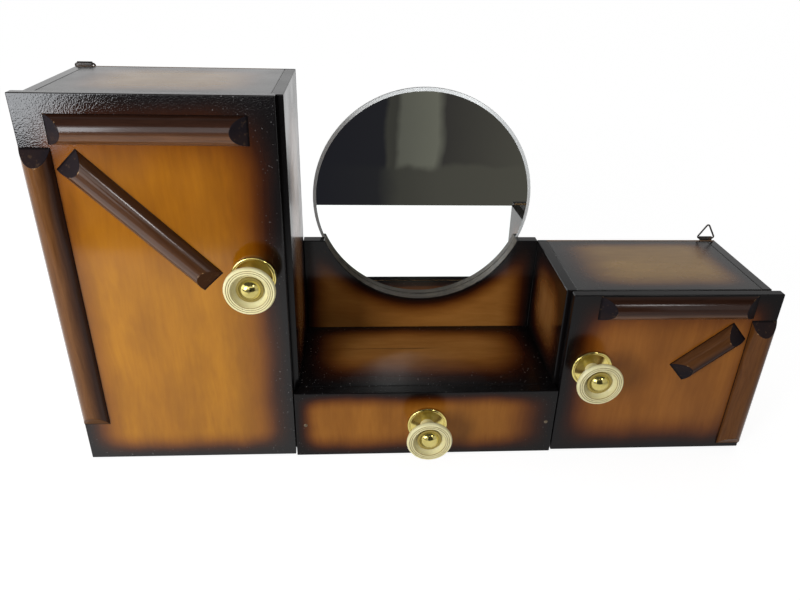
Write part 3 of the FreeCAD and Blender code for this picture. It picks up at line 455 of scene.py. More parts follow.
CASE_BOARDS = {
    "left_side_panel": Board("left", "z", "outside", dict(front=40, rear=40, bottom=40, top=40)),
    "right_side_panel": Board("right", "z", "outside", dict(front=40, rear=40, bottom=36, top=36)),
    "left_partition": Board("right", "z", "walls", dict(front=44, rear=50, bottom=44, top=66), 1.28, 0.10,
                            floor=NICHE_FLOOR),
    "right_partition": Board("left", "z", "walls", dict(front=44, rear=46, bottom=44, top=40), 1.28,
                             floor=NICHE_FLOOR),
    "left_top_panel": Board("top", "x", "outside", dict(left=56, right=56, front=34, rear=34), 1.52, 0.08),
    "right_top_panel": Board("top", "x", "outside", dict(left=56, right=34, front=30, rear=23), 1.46, 0.14),
    "niche_shelf": Board("top", "x", "shelf", dict(left=54, right=60, front=66, rear=30), 1.30, 0.08,
                         dusty=0.60, line=(10, -79, 28)),
    "centre_back_panel": Board("front", "x", "niche", dict(left=28, right=36, top=44), 1.27),
}
DOOR_BOARDS = {
    "left_door_panel": Board("front", "z", "tall_door", dict(left=45, right=54, bottom=29, top=64), 1.38,
                             rippled=0.275, foot="tall_foot", dusty=0.22),
    "right_door_panel": Board("front", "z", "low_door", dict(left=46, right=34, bottom=45, top=46), 1.25,
                              0.08),
}
DRAWER_BOARDS = {
    "drawer_front": Board("front", "z", "drawer", dict(left=26, right=60, bottom=26, top=20), 1.25, 0.08,
                          worn=0.06, dusty=0.12),
}


def fade_corners(node, board):
    """Where the burst starts and where it has cleared, at the low and the high edges of a board."""
    low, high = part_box(node)
    low.z = max(low.z, board.floor)
    corners = {"low": [-FAR] * 3, "low_inside": [1 - FAR] * 3,
               "high": [FAR] * 3, "high_inside": [FAR - 1] * 3}
    for edge, fade in board.fades.items():
        axis, side = EDGES[edge]
        name, start = ("low", low[axis]) if side < 0 else ("high", high[axis])
        corners[name][axis] = start
        corners[name + "_inside"][axis] = start - side * fade * MM
    return corners


def rim_span(finish, node, start, end):
    """A soft step while the distance in from the rim of a round piece goes from start to end."""
    low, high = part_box(node)
    middle, radius = (low + high) / 2, (high.x - low.x) / 2
    flat = finish.vector("MULTIPLY", finish.place, (1.0, 0.0, 1.0))
    away = finish.vector("DISTANCE", flat, (middle.x, 0.0, middle.z))
    return finish.span(away, radius - start, radius - end)


def cut_out_span(finish, start, end):
    """A soft step while the distance outside the round cut-out for the mirror goes from start to end."""
    return rim_span(finish, "mirror_glass", MIRROR_LAP - start, MIRROR_LAP - end)


def wood_colour(finish, grain, tint):
    """Bare wood, and the marks of its grain."""
    marks = finish.effect("Wood Grain", stretch=STRETCHES[grain])
    figure = finish.tones(marks["Figure"], tint, (0.86, 0.83, 0.78), (1.08, 1.06, 1.04))
    streaks = finish.times(marks["Streaks"], STREAK_STRENGTH)
    pores = finish.times(marks["Pores"], PORE_STRENGTH)
    streaked = finish.blend(streaks, figure, shade(tint, (0.70, 0.62, 0.52)))
    return finish.blend(pores, streaked, shade(tint, (0.45, 0.36, 0.27))), marks


def grained(finish, stain, marks, grain):
    """A stain made darker and lighter by the marks of the grain under it."""
    for mark, (weak, strong) in grain.items():
        stain = finish.blend(1.0, stain, finish.blend(marks[mark], shade(weak), shade(strong)), "MULTIPLY")
    return stain


def spray(finish, centre, edge, tint):
    """The burst's colours from its sprayed edge to the clear stain in the middle."""
    return finish.ramp(centre, (0.0, shade(edge)), *((share, shade(tint, tone)) for share, tone in SPRAY))


def grain_line(finish, depth, start, end):
    """A dark line in the grain of a level board, at a depth and between two places in millimetres."""
    across, away, _ = finish.axes()
    sway = finish.noise("line")[0]
    middle = finish.math("MULTIPLY_ADD", sway, LINE_SWAY, depth * MM - LINE_SWAY / 2)
    return finish.times(finish.span(finish.apart(away, middle), *LINE_WIDTH, 0.0, LINE_STRENGTH),
                        finish.span(across, start * MM, (start + LINE_START_FADE) * MM),
                        finish.span(across, end * MM, (end - LINE_END_FADE) * MM))


def burst_finish(context, node, board):
    """Amber stain sprayed black towards the edges, under lacquer; the hidden face is bare."""
    tints, sizes = context.scene.cabinet_colours, context.scene.cabinet_sizes
    finish = Finish(f"burst_{node}")
    rise = finish.axes()[Z]
    low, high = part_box(node)
    has_cut_out = node == "centre_back_panel"
    corners = fade_corners(node, board)
    centre = finish.effect("Sunburst", drift=2 * sizes.burst_drift, **corners)["Centre"]
    if has_cut_out:
        centre = finish.times(centre, cut_out_span(finish, 0.0, CUT_OUT_FADE))
    bare, marks = wood_colour(finish, board.grain, tints.bare_wood)
    stain = spray(finish, centre, tints.burst_edge, getattr(tints, board.stain))
    # Painted light: towards the foot of the door the stain turns paler, standing in for the white sheet's
    # light and reflection.
    if board.foot:
        paler = spray(finish, centre, tints.burst_edge, getattr(tints, board.foot))
        stain = finish.blend(finish.span(rise, FOOT_TOP, FOOT_LEVEL), stain, paler)
    stain = grained(finish, stain, marks, BOARD_GRAIN)
    if board.worn:
        worn = finish.effect("Edge Wear", low=low, high=high, width=sizes.wear_width, amount=board.worn)
        stain = finish.blend(worn["Wear"], stain, shade(tints.bare_wood, (0.75, 0.62, 0.5)))
    if board.line:
        stain = finish.blend(grain_line(finish, *board.line), stain, shade(tints.burst_edge))
    gloss = finish.effect("Lacquer")
    sprayed = finish.span(centre, 0.0, SPRAYED_SHARE, 1.0, 0.0)
    if board.dusty:
        stain = finish.blend(finish.times(gloss["Specks"], sprayed, board.dusty), stain, shade(tints.dust))
    thick = finish.times(sprayed, finish.span(rise, board.rippled, board.rippled + RIPPLE_START))
    roughness = finish.math("ADD", finish.mix(thick, gloss["Roughness"], THICK_ROUGHNESS), board.dulled)
    if has_cut_out:
        # Partly painted reflection: the cut edge is dark paint, coloured lighter to stand in for reflections
        # on it.
        cut = cut_out_span(finish, *CUT_SKIN)
        edge = finish.tones(marks["Streaks"], tints.cut_edge, (1.3, 1.25, 1.2), grey(0.4))
        stain = finish.blend(cut, stain, edge)
        roughness = finish.math("MAXIMUM", roughness, finish.times(cut, CUT_EDGE_ROUGHNESS))
    axis, side = EDGES[board.face]
    hidden = low[axis] if side > 0 else high[axis]
    raw = finish.span(finish.axes()[axis], hidden + side * RAW_SKIN, hidden + side * RAW_SKIN / 4)
    ripple = finish.times(gloss["Height"], finish.math("MAXIMUM", thick, RIPPLE_ELSEWHERE))
    return finish.done(ripple, sizes.peel_depth, base=finish.blend(raw, stain, bare),
                       roughness=finish.mix(raw, roughness, RAW_ROUGHNESS), ior=board.ior)


def stain_boards(context, boards):
    for node, board in boards.items():
        dress(burst_finish(context, node, board), node)


def bare_finish(context, name, grain):
    """Sanded wood inside the case."""
    finish = Finish(name)
    bare, marks = wood_colour(finish, grain, context.scene.cabinet_colours.bare_wood)
    height = finish.math("SUBTRACT", marks["Streaks"], marks["Pores"])
    return finish.done(height, RAW_DEPTH, base=bare, roughness=finish.between(marks["Streaks"], 0.52, 0.68))


def hardboard_finish(context, name, black_side=False):
    """Pressed fibres with flecks of darker chips, and black paint next to the niche if asked."""
    tints = context.scene.cabinet_colours
    finish = Finish(name)
    fibres = finish.noise("fibres")[0]
    mixed = finish.tones(finish.marks("fibres"), tints.hardboard, (0.72, 0.70, 0.66), grey(1.2))
    flecks = finish.marks("flecks", 0.0, FLECK_STRENGTH)
    mixed = finish.blend(flecks, mixed, shade(tints.hardboard, (0.55, 0.50, 0.45)))
    if black_side:
        outwards = finish.math("ABSOLUTE", finish.axes()[X])
        mixed = finish.blend(finish.span(outwards, *NICHE_SIDE), mixed, shade(tints.burst_edge))
    polish = finish.span(finish.noise("flecks")[0], 0.3, 0.7, 0.5, 0.7)
    return finish.done(fibres, FIBRE_DEPTH, base=mixed, roughness=polish)


# Mouldings

MOULDING_WIDTH = 22 * MM
CUT_LINE, CUT_COVER, STAINED_CUT = (0.7 * MM, 0.2 * MM), 0.92, grey(0.75)
STRIP_FOOT, FOOT_COVER = (-1.5 * MM, -0.4 * MM), 0.85
RIM_MIDDLE, RIM_WIDTH = 0.6 * MM, (0.7 * MM, 0.1 * MM)
STRIP_ROUGHNESS, CUT_ROUGHNESS, COAT_ROUGHNESS = 0.03, 0.18, 0.15
STRIP_RIPPLE, STRIP_IOR = 0.35, 1.08


class Strip(NamedTuple):
    """A moulding's slope in radians, its two stains, and where one gives way to the other, in millimetres.

    Then the weight and the strength of its gloss, and the end that is stained and not black: 1 for the right
    or upper one, -1 for the other. The first stain is above, or on the outer side of an upright strip.
    Where the two differ, the second is painted light or shade across the half-round: a half painted lighter
    as if lit, or an inner side painted darker as shade.
    """
    slope: float
    first: str
    second: str
    turn: tuple
    gloss: float = 1.0
    coat_ior: float = 1.36
    stained_end: int = 0


def moulding_finish(context, node, strip):
    """Dark lacquered wood with the grain along the strip and black cut ends."""
    tints, sizes = context.scene.cabinet_colours, context.scene.cabinet_sizes
    first, second = getattr(tints, strip.first), getattr(tints, strip.second)
    finish = Finish(f"dark_{node}")
    low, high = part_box(node)
    middle = (low + high) / 2
    cos, sin = abs(math.cos(strip.slope)), abs(math.sin(strip.slope))
    if cos > sin:
        half = (high.x - low.x - MOULDING_WIDTH * sin) / cos / 2
    else:
        half = (high.z - low.z - MOULDING_WIDTH * cos) / sin / 2
    centred = finish.vector("SUBTRACT", finish.place, (middle.x, high.y, middle.z))
    turned = {"Vector": centred, "Rotation": (0.0, strip.slope, 0.0)}
    local = finish.node("ShaderNodeMapping", turned).outputs[0]
    along, height, across = finish.axes(local)
    # Painted light and shade: across the half-round the strip goes from its first colour to its second, a
    # half painted lighter as if lit or an inner side painted darker as shade.
    share = finish.span(across, *(side * MM for side in strip.turn))
    marks = finish.effect("Wood Grain", local, stretch=STRETCHES["x"])
    base = grained(finish, finish.blend(share, shade(first), shade(second)), marks, STRIP_GRAIN)
    inside = finish.math("MULTIPLY_ADD", height, math.tan(sizes.moulding_bevel),
                         finish.math("SUBTRACT", half, finish.math("ABSOLUTE", along)))
    end = finish.span(inside, *CUT_LINE)
    cut = shade(tints.cut_end)
    if strip.stained_end:
        this_end = finish.span(finish.times(along, strip.stained_end), 0.0, MM)
        cut = finish.blend(this_end, cut, shade(first, STAINED_CUT))
    base = finish.blend(finish.times(end, CUT_COVER), base, cut)
    base = finish.blend(finish.span(height, *STRIP_FOOT, 0.0, FOOT_COVER), base, shade(tints.burst_edge))
    rim = finish.span(finish.apart(inside, RIM_MIDDLE), *RIM_WIDTH)
    chips = finish.times(rim, finish.marks("chips"))
    base = finish.blend(chips, base, shade(tints.bare_wood, (0.8, 0.7, 0.6)))
    gloss = finish.effect("Lacquer")
    duller = finish.math("MULTIPLY_ADD", end, CUT_ROUGHNESS, STRIP_ROUGHNESS)
    return finish.done(finish.times(gloss["Height"], STRIP_RIPPLE), sizes.peel_depth, base=base,
                       roughness=finish.math("ADD", gloss["Roughness"], duller), ior=STRIP_IOR,
                       coat=finish.between(end, strip.gloss, 0.0), coat_ior=strip.coat_ior,
                       coat_rough=COAT_ROUGHNESS)


# Metal, plastic and glass

SCRATCH_DEPTH, RUST_DEPTH, CREAM_DEPTH, PLASTIC_DEPTH = 0.004 * MM, 0.03 * MM, 0.01 * MM, 0.02 * MM
FACE_SKIN = (0.3 * MM, 0.1 * MM)
CAP_LEDGE, LEDGE_TARNISH = (2.3 * MM, 1.7 * MM), 0.9
RINGS_INNER, RINGS_OUTER, GROOVE_DEPTH = (6.0 * MM, 5.7 * MM), (0.8 * MM, 1.4 * MM), (0.15 * MM, 0.6 * MM)
KNOB_NECK, NECK_DARKENING, KNOB_IOR = (6 * MM, 20 * MM), 0.4, 1.5
MIRROR_BEVEL, MIRROR_EDGE = (3.1 * MM, 2.9 * MM), (0.15 * MM, 0.05 * MM)
MIRROR_CLOUDING, BEVEL_DULLED, BEVEL_ROUGHNESS, BACK_ROUGHNESS, GLASS_ROUGHNESS = 0.04, 0.8, 0.24, 0.6, 0.006
CATCH_MIDDLE = 130.2 * MM
POLE_INNER, POLE_OUTER = (1.2 * MM, 1.4 * MM), (2.6 * MM, 2.4 * MM)


def metal_finish(name, tint, smooth, rough):
    """Metal with cloudy tarnish, rougher where it is scratched."""
    finish = Finish(name)
    marks = finish.effect("Tarnish")
    worn = finish.times(marks["Scratches"], marks["Clouds"])
    return finish.done(marks["Scratches"], SCRATCH_DEPTH, metallic=1.0,
                       base=finish.tones(marks["Clouds"], tint, (0.84, 0.80, 0.72)),
                       roughness=finish.between(worn, smooth, rough))


def steel_finish(context):
    """The one steel of all plain fittings."""
    if "steel" not in bpy.data.materials:
        return metal_finish("steel", context.scene.cabinet_colours.steel, 0.26, 0.42)
    return bpy.data.materials["steel"]


def cap_finish(context, node):
    """Polished brass, tarnished on the ledge round the dome."""
    tint = context.scene.cabinet_colours.brass
    finish = Finish(f"brass_{node}")
    ledge = rim_span(finish, node, *CAP_LEDGE)
    marks = finish.effect("Tarnish")
    base = finish.tones(marks["Clouds"], tint, (0.70, 0.69, 0.64), grey(0.82))
    base = finish.blend(finish.times(ledge, LEDGE_TARNISH), base, shade(tint, (0.40, 0.35, 0.26)))
    return finish.done(marks["Scratches"], SCRATCH_DEPTH, base=base, metallic=1.0,
                       roughness=finish.between(ledge, 0.14, 0.32))


def dark_steel_finish(context):
    """Blackened steel with brown rust in patches."""
    tints = context.scene.cabinet_colours
    finish = Finish("dark_steel")
    clouds = finish.effect("Tarnish")["Clouds"]
    rust = finish.marks("rust")
    base = finish.tones(clouds, tints.dark_steel, grey(0.7), (1.3, 1.25, 1.2))
    return finish.done(rust, RUST_DEPTH, base=finish.blend(rust, base, shade(tints.rust)),
                       metallic=finish.between(rust, 0.5, 0.1), roughness=finish.between(rust, 0.42, 0.8))


def cream_finish(context, node):
    """Aged cream plastic, with painted shade in the turned grooves and darker towards the neck."""
    tint = context.scene.cabinet_colours.cream
    finish = Finish(f"cream_{node}")
    depth = finish.math("SUBTRACT", finish.axes()[Y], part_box(node)[0].y)
    clouds = finish.effect("Tarnish")["Clouds"]
    base = finish.tones(clouds, tint, (0.93, 0.90, 0.82), (1.03, 1.02, 1.02))
    # Painted shade in the turned grooves, and the colour darker towards the neck.
    groove = finish.times(finish.span(depth, *GROOVE_DEPTH), rim_span(finish, node, *RINGS_INNER),
                          rim_span(finish, node, *RINGS_OUTER))
    groove_shade_neck_darkening = finish.math("MAXIMUM", groove, finish.span(depth, *KNOB_NECK, 0.0, NECK_DARKENING))
    base = finish.blend(groove_shade_neck_darkening, base, shade(tint, (0.46, 0.36, 0.24)))
    return finish.done(clouds, CREAM_DEPTH, base=base, ior=KNOB_IOR,
                       roughness=finish.between(clouds, 0.34, 0.24))


def mirror_finish(context):
    """Silvered glass: bright face, pale ground bevel, dark edge and painted back."""
    tints, sizes = context.scene.cabinet_colours, context.scene.cabinet_sizes
    finish = Finish("mirror")
    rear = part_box("mirror_glass")[1].y
    back = finish.span(finish.axes()[Y], *(rear - skin for skin in FACE_SKIN))
    edge = rim_span(finish, "mirror_glass", *MIRROR_EDGE)
    bevel = rim_span(finish, "mirror_glass", *MIRROR_BEVEL)
    marks = finish.effect("Tarnish")
    paint = finish.tones(marks["Clouds"], tints.mirror_back, grey(0.8), grey(1.15))
    clouding = finish.times(marks["Clouds"], MIRROR_CLOUDING)
    face = finish.tones(clouding, tints.silver, WHITE, (0.85, 0.9, 0.88))
    ground = finish.blend(bevel, face, shade(tints.silver, grey(0.92)))
    glass = finish.blend(edge, ground, shade(tints.glass_edge))
    dulled = finish.fold("MAXIMUM", back, edge, finish.times(bevel, BEVEL_DULLED))
    smooth = finish.between(marks["Scratches"], 0.0, GLASS_ROUGHNESS)
    rough = finish.math("MAXIMUM", finish.times(bevel, BEVEL_ROUGHNESS), finish.times(back, BACK_ROUGHNESS))
    plumb = finish.node("ShaderNodeNewGeometry").outputs["Normal"]
    leaned = finish.node("ShaderNodeVectorRotate", {"Vector": plumb, "Angle": -sizes.mirror_lean},
                         rotation_type="X_AXIS").outputs[0]
    return finish.done(base=finish.blend(back, glass, paint), normal=leaned,
                       metallic=finish.between(dulled, 1.0, 0.0), roughness=finish.math("ADD", smooth, rough))


def catch_finish(context):
    """Matt moulded plastic with two steel pole plates showing at the front."""
    tints = context.scene.cabinet_colours
    finish = Finish("black_plastic")
    across, depth, _ = finish.axes()
    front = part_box("door_catches")[0].y
    clouds = finish.effect("Tarnish")["Clouds"]
    off_middle = finish.apart(finish.math("ABSOLUTE", across), CATCH_MIDDLE)
    plates = finish.times(finish.span(depth, *(front + skin for skin in FACE_SKIN)),
                          finish.span(off_middle, *POLE_OUTER), finish.span(off_middle, *POLE_INNER))
    base = finish.tones(clouds, tints.catch, WHITE, grey(1.6))
    return finish.done(clouds, PLASTIC_DEPTH, base=finish.blend(plates, base, shade(tints.steel)),
                       metallic=plates, roughness=finish.between(plates, 0.55, 0.3))


# Modelling

SCREW_SIDES, SMOOTH_ANGLE = 32, math.radians(40)
HEAD_ROUNDING, SLOT_DEPTH = 0.42, 0.5
SHANK_SHARE, POINT_SHARE, POINT_WIDTH = 0.7, 0.3, 0.25
FIRST_TURN, NEXT_TURN = 25, 67
HEAD_RIM, SAME_LEVEL, SAME_PLACE = 0.97, 1e-5, 1e-6


def only(piece):
    """Makes one object the active and only selected one."""
    bpy.ops.object.select_all(action="DESELECT")
    piece.select_set(True)
    bpy.context.view_layer.objects.active = piece


def remove(piece):
    only(piece)
    bpy.ops.object.delete()


def pick_faces(piece, side):
    """Selects in edit mode the faces that look up or down."""
    bpy.ops.object.mode_set(mode="OBJECT")
    for parts in (piece.data.vertices, piece.data.edges, piece.data.polygons):
        parts.foreach_set("select", [False] * len(parts))
    for face in piece.data.polygons:
        face.select = side * face.normal.z > 0.9
    bpy.ops.object.mode_set(mode="EDIT")
    bpy.ops.mesh.select_mode(type="FACE")


class Screw(NamedTuple):
    """One screw of a CAD node: its head's outer middle, the way it faces, and its sizes."""
    head: Vector
    facing: int
    head_radius: float
    head_height: float
    shank_radius: float
    length: float


def read_screw(part):
    """Finds a screw's sizes from its own mesh; all of them lie along the depth axis."""
    points = [vertex.co.copy() for vertex in part.data.vertices]
    low, high = Vector(map(min, *points)), Vector(map(max, *points))
    middle = (low + high) / 2
    radius = (high.x - low.x) / 2

    def reach(point):
        return math.hypot(point.x - middle.x, point.z - middle.z)

    head = [point.y for point in points if reach(point) > HEAD_RIM * radius]
    facing = 1 if sum(head) / len(head) > middle.y else -1
    top, tip = (high.y, low.y) if facing > 0 else (low.y, high.y)
    shank = max(reach(point) for point in points if abs(point.y - tip) < SAME_LEVEL)
    return Screw(Vector((middle.x, top, middle.z)), facing, radius, max(head) - min(head), shank,
                 high.y - low.y)


def find_screws(node):
    """Splits a copy of a node's mesh into its separate screws and measures each."""
    copy = bpy.data.objects.new("loose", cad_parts[node].data.copy())
    bpy.context.scene.collection.objects.link(copy)
    only(copy)
    bpy.ops.object.mode_set(mode="EDIT")
    bpy.ops.mesh.select_all(action="SELECT")
    bpy.ops.mesh.remove_doubles(threshold=SAME_PLACE)
    bpy.ops.mesh.separate(type="LOOSE")
    bpy.ops.object.mode_set(mode="OBJECT")
    screws = [read_screw(part) for part in bpy.context.selected_objects]
    bpy.ops.object.delete()
    return screws


def model_screw(screw, slot_width):
    """A slotted screw standing on its point, with its head's top at the origin."""
    bpy.ops.object.select_all(action="DESELECT")
    bpy.ops.mesh.primitive_cylinder_add(vertices=SCREW_SIDES, radius=screw.head_radius,
                                        depth=screw.head_height, location=(0.0, 0.0, -screw.head_height / 2))
    piece = bpy.context.object
    bpy.ops.object.transform_apply(location=True)
    pick_faces(piece, 1)
    bpy.ops.mesh.bevel(offset=HEAD_ROUNDING * screw.head_height, segments=4, affect="EDGES")
    pick_faces(piece, -1)
    bpy.ops.mesh.inset(thickness=screw.head_radius - screw.shank_radius)
    for share in (SHANK_SHARE, POINT_SHARE):
        fall = -share * (screw.length - screw.head_height)
        bpy.ops.mesh.extrude_region_move(TRANSFORM_OT_translate={"value": (0.0, 0.0, fall)})
    bpy.ops.transform.resize(value=(POINT_WIDTH, POINT_WIDTH, 1.0), center_override=(0.0, 0.0, -screw.length))
    bpy.ops.object.mode_set(mode="OBJECT")
    bpy.ops.mesh.primitive_cube_add(size=1.0)
    cutter = bpy.context.object
    cutter.scale = (slot_width, 3 * screw.head_radius, 2 * SLOT_DEPTH * screw.head_height)
    cut = piece.modifiers.new("slot", "BOOLEAN")
    cut.operation, cut.object = "DIFFERENCE", cutter
    only(piece)
    bpy.ops.object.modifier_apply(modifier=cut.name)
    remove(cutter)
    only(piece)
    bpy.ops.object.shade_smooth_by_angle(angle=SMOOTH_ANGLE)
    return piece


def place_screws(name, node, body, slot_width, finish):
    """Stands a slotted screw in the place of each plain one of a CAD node."""
    screws = find_screws(node)
    master = model_screw(screws[0], slot_width)
    copies = []
    for index, screw in enumerate(screws):
        copy = bpy.data.objects.new(name, master.data.copy())
        bpy.context.scene.collection.objects.link(copy)
        turn = Matrix.Rotation(math.radians(FIRST_TURN + NEXT_TURN * index), 4, "Z")
        lean = Matrix.Rotation(-screw.facing * math.pi / 2, 4, "X")
        copy.matrix_world = Matrix.Translation(screw.head) @ lean @ turn
        copies.append(copy)
    remove(master)
    only(copies[0])
    for copy in copies:
        copy.select_set(True)
    if len(copies) > 1:
        bpy.ops.object.join()
    bpy.ops.object.transform_apply()
    piece = bpy.context.object
    piece.name = name
    piece.data.materials.clear()
    piece.data.materials.append(finish)
    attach(piece, body)
    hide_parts(node)


# Operators for the pieces

class CABINET_OT_case(bpy.types.Operator):
    """Stain the boards of the case, and leave its inside and back bare"""
    bl_idname = "cabinet.case"
    bl_label = "Case boards"

    def execute(self, context):
        stain_boards(context, CASE_BOARDS)
        dress(bare_finish(context, "plain_wood_level", "x"), "left_bottom_panel", "centre_bottom_panel",
              "right_bottom_panel", "left_cupboard_shelf")
        dress(bare_finish(context, "plain_wood_deep", "y"), "shelf_cleats")
        hardboard = hardboard_finish(context, "hardboard_back", black_side=True)
        dress(hardboard, "left_back_panel", "right_back_panel")
        return {"FINISHED"}


class CABINET_OT_doors(bpy.types.Operator):
    """Stain the two doors"""
    bl_idname = "cabinet.doors"
    bl_label = "Doors"

    def execute(self, context):
        stain_boards(context, DOOR_BOARDS)
        return {"FINISHED"}


class CABINET_OT_drawer(bpy.types.Operator):
    """Stain the drawer's front and leave its box bare"""
    bl_idname = "cabinet.drawer"
    bl_label = "Drawer"

    def execute(self, context):
        stain_boards(context, DRAWER_BOARDS)
        dress(bare_finish(context, "plain_wood_drawer_sides", "y"), "drawer_sides")
        dress(bare_finish(context, "plain_wood_drawer_back", "x"), "drawer_back")
        dress(hardboard_finish(context, "hardboard_drawer"), "drawer_bottom")
        return {"FINISHED"}


class CABINET_OT_mouldings(bpy.types.Operator):
    """Stain the half-round mouldings on the doors"""
    bl_idname = "cabinet.mouldings"
    bl_label = "Mouldings"

    def execute(self, context):
        sizes = context.scene.cabinet_sizes
        upright = math.pi / 2
        strips = {
            # Painted light: on the two top strips and the low door's slanting strip, the second colour is the
            # half painted lighter as if lit.
            "left_door_top": Strip(0.0, "moulding", "lit_moulding", (2, -4), 0.9),
            # Painted shade: the inner side of this upright strip is darkened with the dark moulding stain.
            "left_door_side": Strip(upright, "tall_side", "moulding", (1, -10), 0.5, stained_end=-1),
            "left_door_diagonal": Strip(-sizes.tall_slope, "slant", "slant", (7, 2), 1.0, 1.44, 1),
            "right_door_top": Strip(0.0, "moulding", "lit_moulding", (-1, -6), 0.55),
            "right_door_side": Strip(upright, "low_side", "low_side", (1, -1), 0.4, stained_end=-1),
            "right_door_diagonal": Strip(sizes.low_slope, "moulding", "lit_moulding", (-3, 3), 0.25),
        }
        for place, strip in strips.items():
            dress(moulding_finish(context, f"{place}_moulding", strip), f"{place}_moulding")
        return {"FINISHED"}


class CABINET_OT_knobs(bpy.types.Operator):
    """Finish the cream knobs and their brass plates and caps"""
    bl_idname = "cabinet.knobs"
    bl_label = "Knobs"

    def execute(self, context):
        brass = metal_finish("brass", context.scene.cabinet_colours.brass, 0.10, 0.19)
        for place in ("left", "right", "drawer"):
            dress(brass, f"{place}_knob_rosette")
            dress(cap_finish(context, f"{place}_knob_cap"), f"{place}_knob_cap")
            dress(cream_finish(context, f"{place}_knob_body"), f"{place}_knob_body")
        return {"FINISHED"}


class CABINET_OT_mirror(bpy.types.Operator):
    """Silver the mirror and finish its clips"""
    bl_idname = "cabinet.mirror"
    bl_label = "Mirror"

    def execute(self, context):
        dress(mirror_finish(context), "mirror_glass")
        dress(steel_finish(context), "mirror_clips")
        return {"FINISHED"}


class CABINET_OT_hinges(bpy.types.Operator):
    """Finish the hinges, catches and strike plates"""
    bl_idname = "cabinet.hinges"
    bl_label = "Hinges and catches"

    def execute(self, context):
        dress(steel_finish(context), "left_hinge_case_leaves", "right_hinge_case_leaves", "hinge_pins",
              "left_hinge_door_leaves", "right_hinge_door_leaves", "left_strike_plate", "right_strike_plate")
        dress(catch_finish(context), "door_catches")
        return {"FINISHED"}


class CABINET_OT_hangers(bpy.types.Operator):
    """Finish the hanger straps, the wire rings and the nails"""
    bl_idname = "cabinet.hangers"
    bl_label = "Hangers and nails"

    def execute(self, context):
        dress(dark_steel_finish(context), "hanger_straps", "left_hanger_ring", "right_hanger_ring",
              "back_panel_nails")
        dress(metal_finish("nail", context.scene.cabinet_colours.nail, 0.45, 0.6), "drawer_front_nails")
        return {"FINISHED"}


class CABINET_OT_screws(bpy.types.Operator):
    """Model slotted screws in the places of the plain ones"""
    bl_idname = "cabinet.screws"
    bl_label = "Slotted screws"

    def execute(self, context):
        steel = steel_finish(context)
        width = context.scene.cabinet_sizes.slot_width
        bodies = {"hanger_screws": "case", "mirror_clip_screws": "case", "hinge_case_screws": "case",
                  "left_hinge_door_screws": "left_door", "right_hinge_door_screws": "right_door",
                  "left_knob_screw": "left_door", "right_knob_screw": "right_door",
                  "drawer_knob_screw": "drawer"}
        for node, body in bodies.items():
            place_screws(f"slotted_{node}", node, body, width, steel)
        return {"FINISHED"}


# Studio

class Lamp(NamedTuple):
    """A lamp's width and height, its place, what it is turned to, and its tint."""
    size: tuple
    place: tuple
    target: tuple
    tint: tuple = (1.0, 1.0, 1.0)


LAMPS = {
    "window": Lamp((0.465, 0.605), (-0.7675, -0.9, 0.3475), (-0.7675, 0.0, 0.3475), (0.93, 0.96, 1.0)),
    "small_lamp": Lamp((0.075, 0.20), (0.066, -1.5, 1.3), (0.066, 0.105, 0.0)),
    "side_lamp": Lamp((0.22, 0.30), (0.94, -1.35, 1.29), (-0.20, -0.07, 0.25)),
}

# Greys of the dark cards from left to right, by place in metres; the room has others below its foot
ROOM_LEFT, ROOM_RIGHT = (-0.16, (0.013, 0.013, 0.017)), (0.30, (0.072, 0.069, 0.056))
ROOM = (ROOM_LEFT, (-0.008, (0.016, 0.016, 0.019)), (0.0, (0.042, 0.041, 0.035)),
        (0.012, (0.040, 0.039, 0.034)), (0.022, (0.095, 0.095, 0.078)), (0.088, (0.125, 0.125, 0.100)),
        (0.106, (0.036, 0.034, 0.031)), ROOM_RIGHT)
ROOM_BELOW = (ROOM_LEFT, (-0.02, (0.018, 0.018, 0.020)), (0.02, (0.046, 0.045, 0.038)),
              (0.10, (0.060, 0.058, 0.048)), ROOM_RIGHT)
ROOM_FOOT, FOOT_BLUR = 0.08, 0.008
WALL = ((-1.0, (0.20, 0.19, 0.20)), (-0.15, (0.24, 0.23, 0.24)))
SWAY_ACROSS, SWAY_UP = 0.025, 0.04

# What gloss shows of the sky behind, by height, and of the bright band ahead and the sheet
SKY_BEHIND = ((0.0, 1.0), (0.19, 0.86), (0.40, 0.58), (1.0, 0.25))
BAND_EDGE, BAND_SIDE, HORIZON = (0.55, 0.46, 0.12, 2.3), (0.15, 0.65, 1.0, 0.35), (0.06, -0.06)
SHEET_RIGHT, SHEET_LEFT = (0.22, 0.50, 0.95, 0.45), (-0.15, -0.45, 0.0, 0.40)
SHEET_SIZE, SHEET_SEEN, SHEET_GLOW = 12.0, grey(0.30), 0.89

CAMERA_PLACE = Vector((-0.0588, -0.5549, 0.4220))
CAMERA_PITCH, CAMERA_YAW, CAMERA_ROLL = (math.radians(turn) for turn in (27.916, 3.851, -1.538))
CAMERA_LENS, CAMERA_SENSOR, CAMERA_NEAR = 30.636, 36.0, 0.01


def add_sheet(name, size, location, rotation, finish):
    bpy.ops.object.select_all(action="DESELECT")
    bpy.ops.mesh.primitive_plane_add(size=1.0, location=location, rotation=rotation)
    sheet = bpy.context.object
    sheet.scale = (*size, 1.0)
    sheet.name = name
    bpy.ops.object.transform_apply()
    sheet.data.materials.append(finish)
    return sheet


